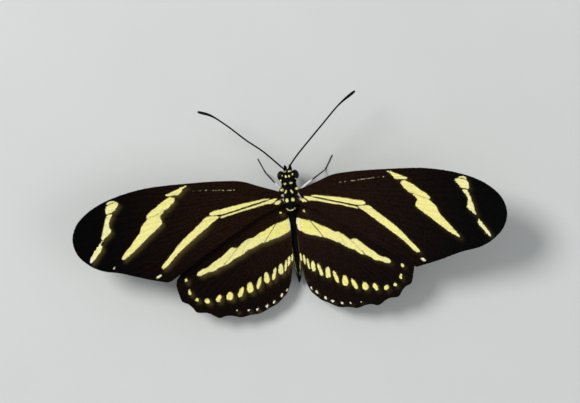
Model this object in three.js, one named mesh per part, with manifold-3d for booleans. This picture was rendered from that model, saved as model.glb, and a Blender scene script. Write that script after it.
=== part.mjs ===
// Zebra longwing butterfly, life size, standing with its wings spread.
// Millimetres. In the body frame the thorax centre is the origin, +Y is the head end,
// +X the animal's right side and +Z its back. A wing is drawn flat, as [outward, forward]
// distances from its hinge, then raised, swept and set on the body.

import * as THREE from "three";
import { mergeVertices } from "three/addons/utils/BufferGeometryUtils.js";
import Module from "manifold-3d";

const wasm = await Module();
wasm.setup();

// Driving dimensions
const GAP = 0.3; // clearance between neighbouring pieces
const BODY_PITCH = THREE.MathUtils.degToRad(7); // head end up
const STANDING_HEIGHT = 5.6; // thorax centre above the floor
const BODY_SIDES = 20;
const LIMB_SIDES = 8;

const HEAD_FRONT = 5.8;
const NECK = 3.0;
const WAIST = -3.55;
const ABDOMEN_TIP = -17.25;

const EYE = { centre: [1.3, 4.45, 0.05], radii: [0.92, 1.05, 1.12], inner: 0.8, sides: 18 };

const MEMBRANE = 0.5; // thickness of a wing between its veins
const VEIN_HEIGHT = 0.12; // above each face of the membrane
const VEIN_HALF_WIDTH = 0.32;
const VEIN_STEP = 1.7; // spacing of the stations along a vein
const MARGIN_STEP = 1.3; // spacing along the edge of a wing
const SCALLOP_STEP = 0.65; // the same along the outer margin of a hindwing
const FILL_STEP = 2.8; // spacing of the points between the veins
const WING_DROOP = 0.0011; // sag of the spread wing, per mm outward squared

const WING_RAISE = { left: THREE.MathUtils.degToRad(9.5), right: THREE.MathUtils.degToRad(15.7) };
const FORE_SWEEP = { left: THREE.MathUtils.degToRad(1.7), right: THREE.MathUtils.degToRad(-1.7) };
const HIND_SWEEP = { left: THREE.MathUtils.degToRad(0.5), right: THREE.MathUtils.degToRad(-0.5) };
const FORE_HINGE = [1.9, 0];
const HIND_HINGE = [1.48, -2.2];
const WING_PIVOT = [1.9, 1.2]; // outward and up, the line about which a side's wings rise
const HIND_LAYER = -1.1; // hindwing below forewing

const COLOURS = {
  wing: 0x1d130b,
  body: 0x15100c,
  leg: 0x1a140e,
  antenna: 0x120d0a,
  eye: 0x1b0f0a,
};

// Cross-sections of the body, from the front of the head to the tip of the abdomen:
// [distance forward, half width, top, bottom]
const BODY_SECTIONS = [
  [HEAD_FRONT - 0.08, 0.5, 0.15, -0.45],
  [5.5, 0.95, 0.62, -0.85],
  [4.9, 1.15, 1.0, -1.1],
  [4.1, 1.35, 1.15, -1.15],
  [3.5, 1.55, 1.1, -1.1],
  [3.2, 1.46, 1.02, -1.02],
  [NECK, 1.38, 1.0, -0.98],
  [2.6, 1.5, 1.15, -1.2],
  [2.0, 1.75, 1.38, -1.7],
  [1.0, 1.98, 1.55, -2.05],
  [-0.2, 2.05, 1.6, -2.15],
  [-1.4, 1.92, 1.45, -2.0],
  [-2.4, 1.55, 1.05, -1.8],
  [-3.1, 1.15, 0.3, -1.7],
  [WAIST, 0.9, -0.35, -1.7],
  [-4.4, 0.92, -0.6, -2.0],
  [-6.2, 1.02, -0.7, -2.4],
  [-9.0, 1.06, -0.75, -2.65],
  [-12.0, 1.0, -0.8, -2.65],
  [-14.4, 0.84, -0.95, -2.5],
  [-16.2, 0.55, -1.2, -2.25],
  [ABDOMEN_TIP + 0.12, 0.22, -1.5, -1.9],
];

// Shoulder lobes over the forewing roots and the two lobes of the collar
const TEGULA = { centre: [1.5, 1.35, 0.85], radii: [0.5, 0.95, 0.55], sides: 12 };
const COLLAR_LOBE = { centre: [0.7, 2.5, 0.92], radii: [0.72, 0.42, 0.38], sides: 10 };

// Forewing, from the front of its root round the tip to the hind corner
const FORE_LEADING = [
  [-0.9, 1.0], [0.4, 1.5], [3.9, 2.7], [7.4, 3.9], [11.5, 4.25], [18.5, 4.25], [26.5, 3.85],
  [31.5, 2.85], [35.6, 1.4], [38.6, -0.35], [40.8, -2.6], [41.7, -5.3], [41.1, -8.1],
  [39.3, -10.2], [36.6, -11.8], [32.4, -12.7], [27.6, -14.1], [23.4, -15.1],
];
const FORE_INNER = [[22.6, -14.9], [15.5, -10.2], [8.0, -5.5], [3.0, -2.7], [-0.9, -1.2]];

// Hindwing, from the front of its root round the outer margin to the inner margin
const HIND_LEADING = [
  [-0.6, 0.7], [1.6, 1.0], [6.0, 0.3], [11.0, -2.2], [16.0, -5.6], [20.0, -9.2], [22.3, -12.2],
];
const HIND_OUTER = [ // drawn out a little where a vein ends, hollowed between
  [22.5, -13.2], [22.3, -14.2], [22.05, -15.2], [21.8, -16.1], [21.45, -16.65], [20.6, -17],
  [19.9, -17.6], [19.4, -18.2], [18.95, -18.85], [18.2, -19.08], [17.2, -19.1], [16.4, -19.35],
  [15.7, -19.75], [15, -20.2], [14.3, -20.4], [13.6, -20.2], [12.8, -20.08], [11.7, -20.22],
  [10.9, -20.48], [10, -20.66], [9.1, -20.47], [8.2, -20.34], [7.2, -20.28], [6.4, -20.2],
  [5.5, -19.85], [4.7, -19.45], [3.8, -19.05], [3, -18.7], [2.2, -18.1], [1.4, -17.4], [0.8, -16.8],
  [0.3, -15.9], [0, -15.1], [-0.4, -14.2],
];
const HIND_INNER = [[-0.5, -13.4], [-1.05, -10.5], [-1.15, -7.0], [-1.2, -3.6], [-0.9, -1.5]];

// Veins, each from its root or fork outward
const FORE_VEINS = [
  [[0.1, 1.0], [4, 1.9], [9, 3.0], [14, 3.5], [19.2, 3.8]], // subcosta
  [[0, 0.4], [4, 1.1], [9, 1.7], [15, 2.1], [21, 2.2], [25, 2.1], [29, 1.4]], // radius
  [[14, 2.1], [18, 2.9], [22.5, 3.6]],
  [[18, 2.2], [23, 2.9], [27.5, 3.2]],
  [[25, 2.1], [29, 2.3], [33.2, 1.9]],
  [[29, 1.4], [32.3, 1.3], [34.4, 1.0], [37.6, -0.2]],
  [[29, 1.4], [31.5, 0.4], [33.9, -0.8], [37, -2.6], [41, -5.4]],
  [[20.9, 1.7], [24, 0.4], [28, -1.7], [32, -3.9], [35.7, -5.9], [40.2, -8.6]], // medians
  [[21.4, -0.2], [23.2, -0.9], [26.8, -2.2], [31.5, -5.4], [37.9, -10.5]],
  [[19.6, -3.0], [23.5, -4.4], [27.3, -6.8], [34.2, -11.8]],
  [[20.8, 2.2], [21.3, 0.8], [21.4, -0.2], [20.9, -1.6], [19.6, -3.0]], // end of the cell
  [[0.1, -0.2], [2.8, -0.3], [5.4, -0.9], [12.2, -2.6], [15.6, -3.2], [19.6, -3.0]], // cubitus
  [[15.6, -3.2], [18.5, -5.3], [21.5, -8.1], [25.5, -11.3], [29.3, -13.0]],
  [[12.2, -2.6], [13.6, -4.1], [16, -6.2], [19.4, -9.2], [22.3, -11.9], [25.4, -13.9]],
  [[0, -0.7], [4, -2.3], [9, -5.2], [15, -9.1], [22.2, -13.9]], // anal vein
];
const HIND_VEINS = [
  [[0.1, 0.3], [4, 0.1], [9, -1.8], [15, -5.9], [20.9, -10.8]], // subcosta
  [[0.1, -0.1], [3.5, -1.4], [8, -3.5], [14, -7.2], [21.8, -13.1]], // radial sector
  [[5.2, -2.2], [9.5, -5.2], [15, -9.9], [20.1, -14], [21.3, -15.5]], // medians
  [[8, -5], [9.9, -7], [13, -10.5], [17.5, -16.4], [18.9, -18.1]],
  [[7.4, -8.7], [10.3, -12.5], [13.2, -16.6], [14.5, -19.6]],
  [[6.5, -2.9], [8, -5], [7.4, -8.7]], // end of the cell
  [[0.1, -0.8], [1.9, -2.9], [4.5, -6.2], [6, -8], [7.4, -8.7]], // cubitus
  [[6, -8], [7.8, -12], [9, -15.5], [9.9, -19.9]],
  [[4.5, -6.2], [5.2, -10], [5.4, -13.8], [6, -19.3]],
  [[0, -1], [1.3, -5], [2, -9], [2.3, -12.5], [2.8, -17.4]], // anal veins
  [[-0.4, -1.2], [-0.2, -5], [0.1, -9], [0.4, -12], [0.5, -15.3]],
];

const ANTENNA_ROUTES = {
  right: [
    [0.45, 5.15, 0.7], [1.1, 6.25, 1.6], [2.4, 8.1, 2.2], [5.0, 10.7, 2.7], [8.1, 13.7, 3.0],
    [12.1, 17.5, 3.1], [15.2, 19.6, 3.0],
  ],
  left: [
    [-0.45, 5.15, 0.7], [-1.0, 6.25, 1.6], [-2.4, 7.9, 2.2], [-4.5, 9.9, 2.6], [-7.2, 12.1, 2.9],
    [-10.9, 15.5, 3.0], [-13.9, 17.8, 3.0], [-16.4, 18.8, 2.8],
  ],
};
const ANTENNA_SHAFT = 0.25;
const ANTENNA_CLUB = 0.34;
const ANTENNA_STEPS = 24;

const COIL = { centre: [0, 4.9, -2.55], outer: 1.15, inner: 0.45, turns: 1.5, radius: 0.25, steps: 30 };

// Legs. Hips and knees are in the body frame; ankles and toes lie on the floor, as
// [right, forward] of the thorax centre.
const LEGS = {
  midleg_right: {
    hip: [0.8, 0.7, -1.5], knee: [4.8, 3.2, -0.5], ankle: [6.9, 5.6], toe: [8.5, 8.3],
  },
  midleg_left: {
    hip: [-0.8, 0.7, -1.5], knee: [-2.9, 3.3, -0.3], ankle: [-5.3, 6.2], toe: [-6.6, 9.1],
  },
  hindleg_right: {
    hip: [0.8, -1.4, -1.5], knee: [3.7, -3.4, -1.6], ankle: [5.6, -8.0], toe: [6.6, -11.0],
  },
  hindleg_left: {
    hip: [-0.8, -1.4, -1.5], knee: [-3.5, -3.7, -1.6], ankle: [-5.1, -8.5], toe: [-5.9, -11.5],
  },
};
const FEMUR = [0.36, 0.4, 0.28];
const TIBIA = [0.27, 0.29, 0.26];
const TARSUS_RADIUS = 0.25;
const TARSUS_JOINTS = 5;
const SOLE_DEPTH = 0.08; // depth of the flat pressed into the underside of a foot
const FORELEG = [[0.85, 1.7, -1.3], [1.0, 3.0, -2.1], [0.85, 1.9, -2.95], [0.85, 1.3, -3.35]];
const FORELEG_RADII = [0.3, 0.3, 0.26, 0.2];

// Closed surfaces

function solidFrom(vertices, triangles) {
  return new wasm.Manifold(
    new wasm.Mesh({
      numProp: 3,
      vertProperties: new Float32Array(vertices.flat()),
      triVerts: new Uint32Array(triangles.flat()),
    }),
  );
}

function solidOf(geometry) {
  const bare = geometry.clone();
  bare.deleteAttribute("normal");
  bare.deleteAttribute("uv");
  const merged = mergeVertices(bare, 1e-4);
  return new wasm.Manifold(
    new wasm.Mesh({
      numProp: 3,
      vertProperties: merged.attributes.position.array,
      triVerts: new Uint32Array(merged.index.array),
    }),
  );
}

function geometryOf(solid) {
  const mesh = solid.getMesh();
  const geometry = new THREE.BufferGeometry();
  const positions = new Float32Array(mesh.numVert * 3);
  for (let i = 0; i < mesh.numVert; i++) {
    positions.set(mesh.vertProperties.subarray(i * mesh.numProp, i * mesh.numProp + 3), i * 3);
  }
  geometry.setAttribute("position", new THREE.BufferAttribute(positions, 3));
  geometry.setIndex(new THREE.BufferAttribute(mesh.triVerts, 1));
  geometry.computeVertexNormals();
  return geometry;
}

function joined(solids) {
  return solids.reduce((sum, solid) => sum.add(solid));
}

function largest(solid) {
  return solid.decompose().reduce((a, b) => (b.volume() > a.volume() ? b : a));
}

// A closed skin over rings of equal size, ended by a point at each end
function skinOver(rings, startPoint, endPoint) {
  const sides = rings[0].length;
  const vertices = [startPoint, ...rings.flat(), endPoint];
  const last = vertices.length - 1;
  const at = (ring, side) => 1 + ring * sides + (side % sides);
  const triangles = [];
  for (let side = 0; side < sides; side++) {
    triangles.push([0, at(0, side), at(0, side + 1)]);
    triangles.push([last, at(rings.length - 1, side + 1), at(rings.length - 1, side)]);
    for (let ring = 0; ring < rings.length - 1; ring++) {
      triangles.push([at(ring, side), at(ring + 1, side), at(ring + 1, side + 1)]);
      triangles.push([at(ring, side), at(ring + 1, side + 1), at(ring, side + 1)]);
    }
  }
  return solidFrom(vertices, triangles);
}

function ellipsoid({ centre, radii, sides }, mirror, swell) {
  const geometry = new THREE.SphereGeometry(1, sides, Math.round(sides * 0.7));
  geometry.rotateX(Math.PI / 2);
  geometry.scale(radii[0] + swell, radii[1] + swell, radii[2] + swell);
  geometry.translate(centre[0] * mirror, centre[1], centre[2]);
  return solidOf(geometry);
}

function block(minimum, maximum) {
  const size = new THREE.Vector3(...maximum).sub(new THREE.Vector3(...minimum));
  const geometry = new THREE.BoxGeometry(size.x, size.y, size.z);
  geometry.translate(...new THREE.Vector3(...minimum).addScaledVector(size, 0.5).toArray());
  return solidOf(geometry);
}

// Body

function bodySkin(swell) {
  const rings = BODY_SECTIONS.map(([forward, halfWidth, top, bottom]) => {
    const middle = (top + bottom) / 2;
    const halfHeight = (top - bottom) / 2 + swell;
    const ring = [];
    for (let side = 0; side < BODY_SIDES; side++) {
      const angle = (-2 * Math.PI * side) / BODY_SIDES;
      ring.push([(halfWidth + swell) * Math.cos(angle), forward, middle + halfHeight * Math.sin(angle)]);
    }
    return ring;
  });
  const [, , headTop, headBottom] = BODY_SECTIONS[0];
  const [, , tipTop, tipBottom] = BODY_SECTIONS[BODY_SECTIONS.length - 1];
  const front = [0, HEAD_FRONT + swell, (headTop + headBottom) / 2];
  const rear = [0, ABDOMEN_TIP - swell, (tipTop + tipBottom) / 2];
  return skinOver(rings, front, rear);
}

function stretchOfBody(from, to, swell) {
  return bodySkin(swell).intersect(block([-9, from - swell, -9], [9, to + swell, 9]));
}

function headSolid(swell) {
  return stretchOfBody(NECK + GAP / 2, HEAD_FRONT + 1, swell);
}

function thoraxSolid(swell) {
  const lobes = [1, -1].flatMap((mirror) => [
    ellipsoid(TEGULA, mirror, swell),
    ellipsoid(COLLAR_LOBE, mirror, swell),
  ]);
  const trunk = stretchOfBody(WAIST + GAP / 2, NECK - GAP / 2, swell);
  const behindNeck = block([-9, -9, -9], [9, NECK - GAP / 2 + swell, 9]);
  return joined([trunk, ...lobes]).intersect(behindNeck);
}

function abdomenSolid(swell) {
  return stretchOfBody(ABDOMEN_TIP - 1, WAIST - GAP / 2, swell);
}

function eyeSolid(mirror, swell) {
  const inner = EYE.inner - swell;
  const outside = mirror > 0 ? block([inner, -9, -9], [9, 9, 9]) : block([-9, -9, -9], [-inner, 9, 9]);
  return ellipsoid(EYE, mirror, swell).intersect(outside);
}

// Wings

function splinePoints(points, step) {
  const curve = new THREE.CatmullRomCurve3(
    points.map(([outward, forward]) => new THREE.Vector3(outward, forward, 0)),
    false,
    "centripetal",
  );
  const count = Math.max(2, Math.round(curve.getLength() / step));
  return curve.getSpacedPoints(count).map((point) => [point.x, point.y]);
}

function foreOutline() {
  return [...splinePoints(FORE_LEADING, MARGIN_STEP), ...splinePoints(FORE_INNER, MARGIN_STEP)];
}

function hindOutline() {
  return [
    ...splinePoints(HIND_LEADING, MARGIN_STEP),
    ...splinePoints(HIND_OUTER, SCALLOP_STEP),
    ...splinePoints(HIND_INNER, MARGIN_STEP),
  ];
}

function isInside([x, y], outline) {
  let inside = false;
  for (let i = 0, j = outline.length - 1; i < outline.length; j = i++) {
    const [ax, ay] = outline[i];
    const [bx, by] = outline[j];
    if (ay > y !== by > y && x < ((bx - ax) * (y - ay)) / (by - ay) + ax) inside = !inside;
  }
  return inside;
}

function distanceToLine([x, y], line, closed) {
  let best = Infinity;
  for (let i = closed ? 0 : 1; i < line.length; i++) {
    const [ax, ay] = line[(i + line.length - 1) % line.length];
    const [bx, by] = line[i];
    const length = (bx - ax) ** 2 + (by - ay) ** 2;
    const along = Math.min(1, Math.max(0, ((x - ax) * (bx - ax) + (y - ay) * (by - ay)) / length));
    best = Math.min(best, Math.hypot(x - ax - along * (bx - ax), y - ay - along * (by - ay)));
  }
  return best;
}

// Delaunay triangles over points of the plane, by adding one point at a time
function triangulate(points) {
  const far = 1000;
  const all = [...points, [-far, -far], [far, -far], [0, far]];
  const count = points.length;
  const round = ([a, b, c]) => {
    const [ax, ay] = all[a];
    const [bx, by] = all[b];
    const [cx, cy] = all[c];
    const twice = 2 * (ax * (by - cy) + bx * (cy - ay) + cx * (ay - by));
    const aa = ax * ax + ay * ay;
    const bb = bx * bx + by * by;
    const cc = cx * cx + cy * cy;
    const x = (aa * (by - cy) + bb * (cy - ay) + cc * (ay - by)) / twice;
    const y = (aa * (cx - bx) + bb * (ax - cx) + cc * (bx - ax)) / twice;
    return { corners: [a, b, c], x, y, reach: (ax - x) ** 2 + (ay - y) ** 2 };
  };
  let triangles = [round([count, count + 1, count + 2])];
  points.forEach(([x, y], index) => {
    const rim = new Map();
    const kept = [];
    for (const triangle of triangles) {
      if ((x - triangle.x) ** 2 + (y - triangle.y) ** 2 >= triangle.reach) {
        kept.push(triangle);
        continue;
      }
      const [a, b, c] = triangle.corners;
      for (const [from, to] of [[a, b], [b, c], [c, a]]) {
        if (!rim.delete(`${to} ${from}`)) rim.set(`${from} ${to}`, [from, to]);
      }
    }
    triangles = kept.concat([...rim.values()].map(([from, to]) => round([from, to, index])));
  });
  return triangles.map(({ corners }) => corners).filter((corners) => Math.max(...corners) < count);
}

// Points of a wing: its edge, the crest and both feet of each vein, and a spread between
function wingPoints(outline, veins) {
  const points = [...outline];
  const crests = [];
  const addClear = (point, clearance) => {
    const clear = points.every(([x, y]) => Math.hypot(point[0] - x, point[1] - y) > clearance);
    if (!clear || !isInside(point, outline)) return false;
    if (distanceToLine(point, outline, true) < clearance) return false;
    points.push(point);
    return true;
  };
  const stations = veins.map((vein) => splinePoints(vein, VEIN_STEP));
  const nearCrest = VEIN_HALF_WIDTH * 1.1;
  for (const line of stations) {
    for (const station of line) {
      if (addClear(station, VEIN_HALF_WIDTH * 1.4)) crests.push(station);
    }
  }
  for (const line of stations) {
    line.forEach(([x, y], index) => {
      const [px, py] = line[Math.max(0, index - 1)];
      const [nx, ny] = line[Math.min(line.length - 1, index + 1)];
      const length = Math.hypot(nx - px, ny - py);
      for (const side of [1, -1]) {
        const foot = [
          x - (side * nearCrest * (ny - py)) / length,
          y + (side * nearCrest * (nx - px)) / length,
        ];
        addClear(foot, VEIN_HALF_WIDTH * 0.95);
      }
    });
  }
  const fillClear = FILL_STEP * 0.45;
  const clearOfVeins = (point) =>
    stations.every((line) => distanceToLine(point, line, false) > VEIN_STEP * 0.55);
  for (let row = -40; row < 40; row++) {
    for (let column = -4; column < 40; column++) {
      const shift = row % 2 ? FILL_STEP / 2 : 0;
      const point = [column * FILL_STEP + shift, row * FILL_STEP * 0.87];
      if (clearOfVeins(point)) addClear(point, fillClear);
    }
  }
  return { points, crests };
}

function droop(outward) {
  return -WING_DROOP * outward * outward;
}

function wingSolid(outline, veins, hinge, layer) {
  const { points, crests } = wingPoints(outline, veins);
  const inPlane = triangulate(points).filter((corners) => {
    const middle = [0, 1].map((axis) => corners.reduce((sum, c) => sum + points[c][axis], 0) / 3);
    return isInside(middle, outline);
  });
  const raised = new Set(crests.map((crest) => points.indexOf(crest)));
  const face = (side) =>
    points.map(([outward, forward], index) => {
      const thickness = MEMBRANE / 2 + (raised.has(index) ? VEIN_HEIGHT : 0);
      return [outward + hinge[0], forward + hinge[1], layer + droop(outward) + side * thickness];
    });
  const count = points.length;
  const edges = new Map();
  const triangles = [];
  for (const [a, b, c] of inPlane) {
    triangles.push([a, b, c], [c + count, b + count, a + count]);
    for (const [from, to] of [[a, b], [b, c], [c, a]]) {
      if (!edges.delete(`${to} ${from}`)) edges.set(`${from} ${to}`, [from, to]);
    }
  }
  for (const [from, to] of edges.values()) {
    triangles.push([to, from, from + count], [to, from + count, to + count]);
  }
  return solidFrom([...face(1), ...face(-1)], triangles);
}

// From the flat wing plane of a side to the body frame
function wingPlacing(sideName, hinge, sweep) {
  const outwardSign = sideName === "right" ? 1 : -1;
  const toHinge = new THREE.Matrix4().makeTranslation(-hinge[0], -hinge[1], 0);
  const swept = new THREE.Matrix4().makeRotationZ(sweep);
  const fromHinge = new THREE.Matrix4().makeTranslation(hinge[0] - WING_PIVOT[0], hinge[1], 0);
  const raised = new THREE.Matrix4().makeRotationY(-WING_RAISE[sideName]);
  const onBody = new THREE.Matrix4().makeTranslation(WING_PIVOT[0], 0, WING_PIVOT[1]);
  const flipped = new THREE.Matrix4().makeScale(outwardSign, 1, 1);
  return [toHinge, swept, fromHinge, raised, onBody, flipped].reduce(
    (all, step) => new THREE.Matrix4().multiplyMatrices(step, all),
  );
}

// Limbs

function limbSegment(from, to, radii) {
  const start = new THREE.Vector3(...from);
  const end = new THREE.Vector3(...to);
  const length = start.distanceTo(end);
  const [first, middle, last] = radii;
  const profile = [
    [0, -first * 0.9],
    [first * 0.8, -first * 0.55],
    [first, 0],
    [middle, length * 0.4],
    [last, length],
    [0, length + last * 0.8],
  ];
  const geometry = new THREE.LatheGeometry(
    profile.map(([radius, along]) => new THREE.Vector2(radius, along)),
    LIMB_SIDES,
  );
  const direction = end.clone().sub(start).normalize();
  geometry.applyQuaternion(
    new THREE.Quaternion().setFromUnitVectors(new THREE.Vector3(0, 1, 0), direction),
  );
  geometry.translate(...from);
  return solidOf(geometry);
}

function limb(points, radii) {
  const segments = points.slice(1).map((point, index) => {
    const ends = [radii[index], radii[index + 1]];
    return limbSegment(points[index], point, [ends[0], (ends[0] + ends[1]) / 2, ends[1]]);
  });
  return joined(segments);
}

function taperedTube(curve, radiusAt, steps) {
  const frames = curve.computeFrenetFrames(steps, false);
  const rings = [];
  for (let step = 0; step <= steps; step++) {
    const along = step / steps;
    const middle = curve.getPointAt(along);
    const ring = [];
    for (let side = 0; side < LIMB_SIDES; side++) {
      const angle = (-2 * Math.PI * side) / LIMB_SIDES;
      const point = middle
        .clone()
        .addScaledVector(frames.normals[step], radiusAt(along) * Math.cos(angle))
        .addScaledVector(frames.binormals[step], radiusAt(along) * Math.sin(angle));
      ring.push(point.toArray());
    }
    rings.push(ring);
  }
  const start = curve.getPointAt(0).addScaledVector(frames.tangents[0], -radiusAt(0) * 0.5);
  const end = curve.getPointAt(1).addScaledVector(frames.tangents[steps], radiusAt(1) * 0.5);
  return skinOver(rings, start.toArray(), end.toArray());
}

function smoothStep(from, to, value) {
  return THREE.MathUtils.smoothstep(value, from, to);
}

function antennaSolid(route) {
  const curve = new THREE.CatmullRomCurve3(route.map((point) => new THREE.Vector3(...point)));
  const radiusAt = (along) => {
    const club = smoothStep(0.72, 0.92, along) * (ANTENNA_CLUB - ANTENNA_SHAFT);
    const tip = 1 - 0.55 * smoothStep(0.95, 1, along);
    return (ANTENNA_SHAFT + club) * tip;
  };
  return taperedTube(curve, radiusAt, ANTENNA_STEPS);
}

// The tongue leaves the underside of the head and winds into a flat coil
function proboscisSolid() {
  const points = [new THREE.Vector3(0, 5.25, -0.7)];
  const steps = 16;
  for (let step = 0; step <= steps; step++) {
    const along = step / steps;
    const angle = Math.PI * 0.35 - along * 2 * Math.PI * COIL.turns;
    const radius = COIL.outer + (COIL.inner - COIL.outer) * along;
    const [x, y, z] = COIL.centre;
    points.push(new THREE.Vector3(x, y + radius * Math.cos(angle), z + radius * Math.sin(angle)));
  }
  const curve = new THREE.CatmullRomCurve3(points);
  return taperedTube(curve, (along) => COIL.radius * (1 - 0.3 * along), COIL.steps);
}

function palpSolid(mirror) {
  const route = [[0.45, 5.2, -1.15], [0.52, 6.05, -0.95], [0.48, 6.4, -0.1]];
  return limb(route.map(([x, y, z]) => [x * mirror, y, z]), [0.28, 0.28, 0.16]);
}

// Standing frame

const standing = new THREE.Matrix4()
  .makeTranslation(0, 0, STANDING_HEIGHT)
  .multiply(new THREE.Matrix4().makeRotationX(BODY_PITCH));
const toBody = standing.clone().invert();

function onFloor([right, forward], height) {
  return new THREE.Vector3(right, forward, height).applyMatrix4(toBody).toArray();
}

function moved(solid, matrix) {
  const geometry = geometryOf(solid).applyMatrix4(matrix);
  if (matrix.determinant() < 0) geometry.index.array.reverse();
  return solidOf(geometry);
}

function walkingLeg({ hip, knee, ankle, toe }) {
  const axisHeight = TARSUS_RADIUS - SOLE_DEPTH;
  const ankleHeight = TIBIA[2] + 0.12;
  const between = (share) => ankle.map((value, axis) => value + (toe[axis] - value) * share);
  const pieces = [
    limbSegment(hip, knee, FEMUR),
    limbSegment(knee, onFloor(ankle, ankleHeight), TIBIA),
  ];
  for (let joint = 0; joint < TARSUS_JOINTS; joint++) {
    const start = onFloor(between(joint / TARSUS_JOINTS), joint ? axisHeight : ankleHeight);
    const end = onFloor(between((joint + 1) / TARSUS_JOINTS), axisHeight);
    pieces.push(limbSegment(start, end, [TARSUS_RADIUS * 0.82, TARSUS_RADIUS * 0.9, TARSUS_RADIUS]));
  }
  const underFloor = moved(block([-40, -40, -9], [40, 40, 0]), toBody);
  return joined(pieces).subtract(underFloor);
}

// Assembly

const pieces = new Map();
const roomForHead = headSolid(GAP);
const roomForThorax = thoraxSolid(GAP);
const roomForAbdomen = abdomenSolid(GAP);
const roomForEyes = joined([eyeSolid(1, GAP), eyeSolid(-1, GAP)]);

function addPiece(name, solid, colour, roughness) {
  const material = new THREE.MeshStandardMaterial({ color: colour, roughness, metalness: 0 });
  const mesh = new THREE.Mesh(geometryOf(largest(solid)), material);
  mesh.name = name;
  pieces.set(name, mesh);
}

addPiece("head", headSolid(0).subtract(roomForEyes), COLOURS.body, 0.9);
addPiece("thorax", thoraxSolid(0), COLOURS.body, 0.9);
addPiece("abdomen", abdomenSolid(0), COLOURS.body, 0.9);
addPiece("proboscis", proboscisSolid().subtract(roomForHead), COLOURS.leg, 0.5);

for (const sideName of ["left", "right"]) {
  const mirror = sideName === "right" ? 1 : -1;
  addPiece(`eye_${sideName}`, eyeSolid(mirror, 0), COLOURS.eye, 0.25);
  const antenna = antennaSolid(ANTENNA_ROUTES[sideName]).subtract(roomForHead);
  addPiece(`antenna_${sideName}`, antenna.subtract(roomForEyes), COLOURS.antenna, 0.6);
  const palp = palpSolid(mirror).subtract(roomForHead);
  addPiece(`palp_${sideName}`, palp.subtract(roomForEyes), COLOURS.body, 0.9);

  const forePlacing = wingPlacing(sideName, FORE_HINGE, FORE_SWEEP[sideName]);
  const fore = moved(wingSolid(foreOutline(), FORE_VEINS, FORE_HINGE, 0), forePlacing);
  addPiece(`forewing_${sideName}`, fore.subtract(roomForThorax), COLOURS.wing, 0.8);

  const hindPlacing = wingPlacing(sideName, HIND_HINGE, HIND_SWEEP[sideName]);
  const hind = moved(wingSolid(hindOutline(), HIND_VEINS, HIND_HINGE, HIND_LAYER), hindPlacing);
  const hindCut = hind.subtract(roomForThorax).subtract(roomForAbdomen);
  addPiece(`hindwing_${sideName}`, hindCut, COLOURS.wing, 0.8);

  const foreleg = limb(FORELEG.map(([x, y, z]) => [x * mirror, y, z]), FORELEG_RADII);
  addPiece(`foreleg_${sideName}`, foreleg.subtract(roomForThorax), COLOURS.leg, 0.7);
}

for (const [name, leg] of Object.entries(LEGS)) {
  addPiece(name, walkingLeg(leg).subtract(roomForThorax), COLOURS.leg, 0.7);
}

const body = new THREE.Group();
body.applyMatrix4(standing);
body.add(...pieces.values());

const butterfly = new THREE.Group();
butterfly.add(body);
butterfly.updateMatrixWorld(true);
const middle = new THREE.Box3().setFromObject(butterfly, true).getCenter(new THREE.Vector3());
butterfly.position.set(-middle.x, -middle.y, 0);

export default butterfly;
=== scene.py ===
# %% [markdown]
# # Zebra longwing butterfly, a life-size still model
# The solids of the model are loaded first and never moved. Each piece made below is dressed
# over them in the same frame. The shapes are worked out in millimetres in the butterfly's own
# frame: the thorax centre is the origin, +Y is the head end, +X its right side, +Z its back.
# One matrix then sets a finished mesh among the solids in metres.

# %% Load the fixed frame
import math
import bpy
import numpy as np
from mathutils import Matrix, Vector, geometry


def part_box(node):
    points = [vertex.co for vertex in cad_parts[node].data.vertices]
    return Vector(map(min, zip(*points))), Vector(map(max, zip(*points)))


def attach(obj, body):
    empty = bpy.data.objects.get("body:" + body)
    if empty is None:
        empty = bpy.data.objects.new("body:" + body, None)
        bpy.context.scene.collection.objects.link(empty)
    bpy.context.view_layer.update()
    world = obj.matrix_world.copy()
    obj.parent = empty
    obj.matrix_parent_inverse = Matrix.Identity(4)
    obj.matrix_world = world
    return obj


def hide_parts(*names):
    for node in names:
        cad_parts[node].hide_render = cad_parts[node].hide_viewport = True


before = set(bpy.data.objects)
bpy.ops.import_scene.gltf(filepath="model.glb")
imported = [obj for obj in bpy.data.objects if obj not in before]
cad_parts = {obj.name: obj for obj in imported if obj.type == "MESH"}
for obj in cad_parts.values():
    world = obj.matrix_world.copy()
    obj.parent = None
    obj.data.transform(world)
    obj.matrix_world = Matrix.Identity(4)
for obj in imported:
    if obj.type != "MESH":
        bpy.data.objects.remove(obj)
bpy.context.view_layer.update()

# %% The butterfly's own frame
MM = 0.001
BODY_PITCH = math.radians(7)  # head end up
STANDING_HEIGHT = 5.6  # thorax centre above the floor
EYE_CENTRE = (1.3, 4.45, 0.05)  # of the solid eye


def middle_of(node):
    low, high = (Vector(corner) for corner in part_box(node))
    return (low + high) / 2


pitched = Matrix.Rotation(BODY_PITCH, 4, "X")
between_eyes = (middle_of("eye_left") + middle_of("eye_right")) / 2
thorax_centre = between_eyes - pitched @ Vector((0, *EYE_CENTRE[1:])) * MM
BODY_TO_SCENE = Matrix.Translation(thorax_centre) @ pitched @ Matrix.Scale(MM, 4)
FLOOR_TO_BODY = (Matrix.Translation((0, 0, STANDING_HEIGHT)) @ pitched).inverted()
print("thorax centre in mm", [round(1000 * value, 3) for value in thorax_centre])

# %% [markdown]
# ## Camera
# The photograph looks almost straight down on the back, with the body leaning a little to the
# left. The view could be found by eye, but here it was fitted to wing tips, veins and spots
# measured on both wings, which gives the tilt of the view, its roll and its scale at once.

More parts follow.
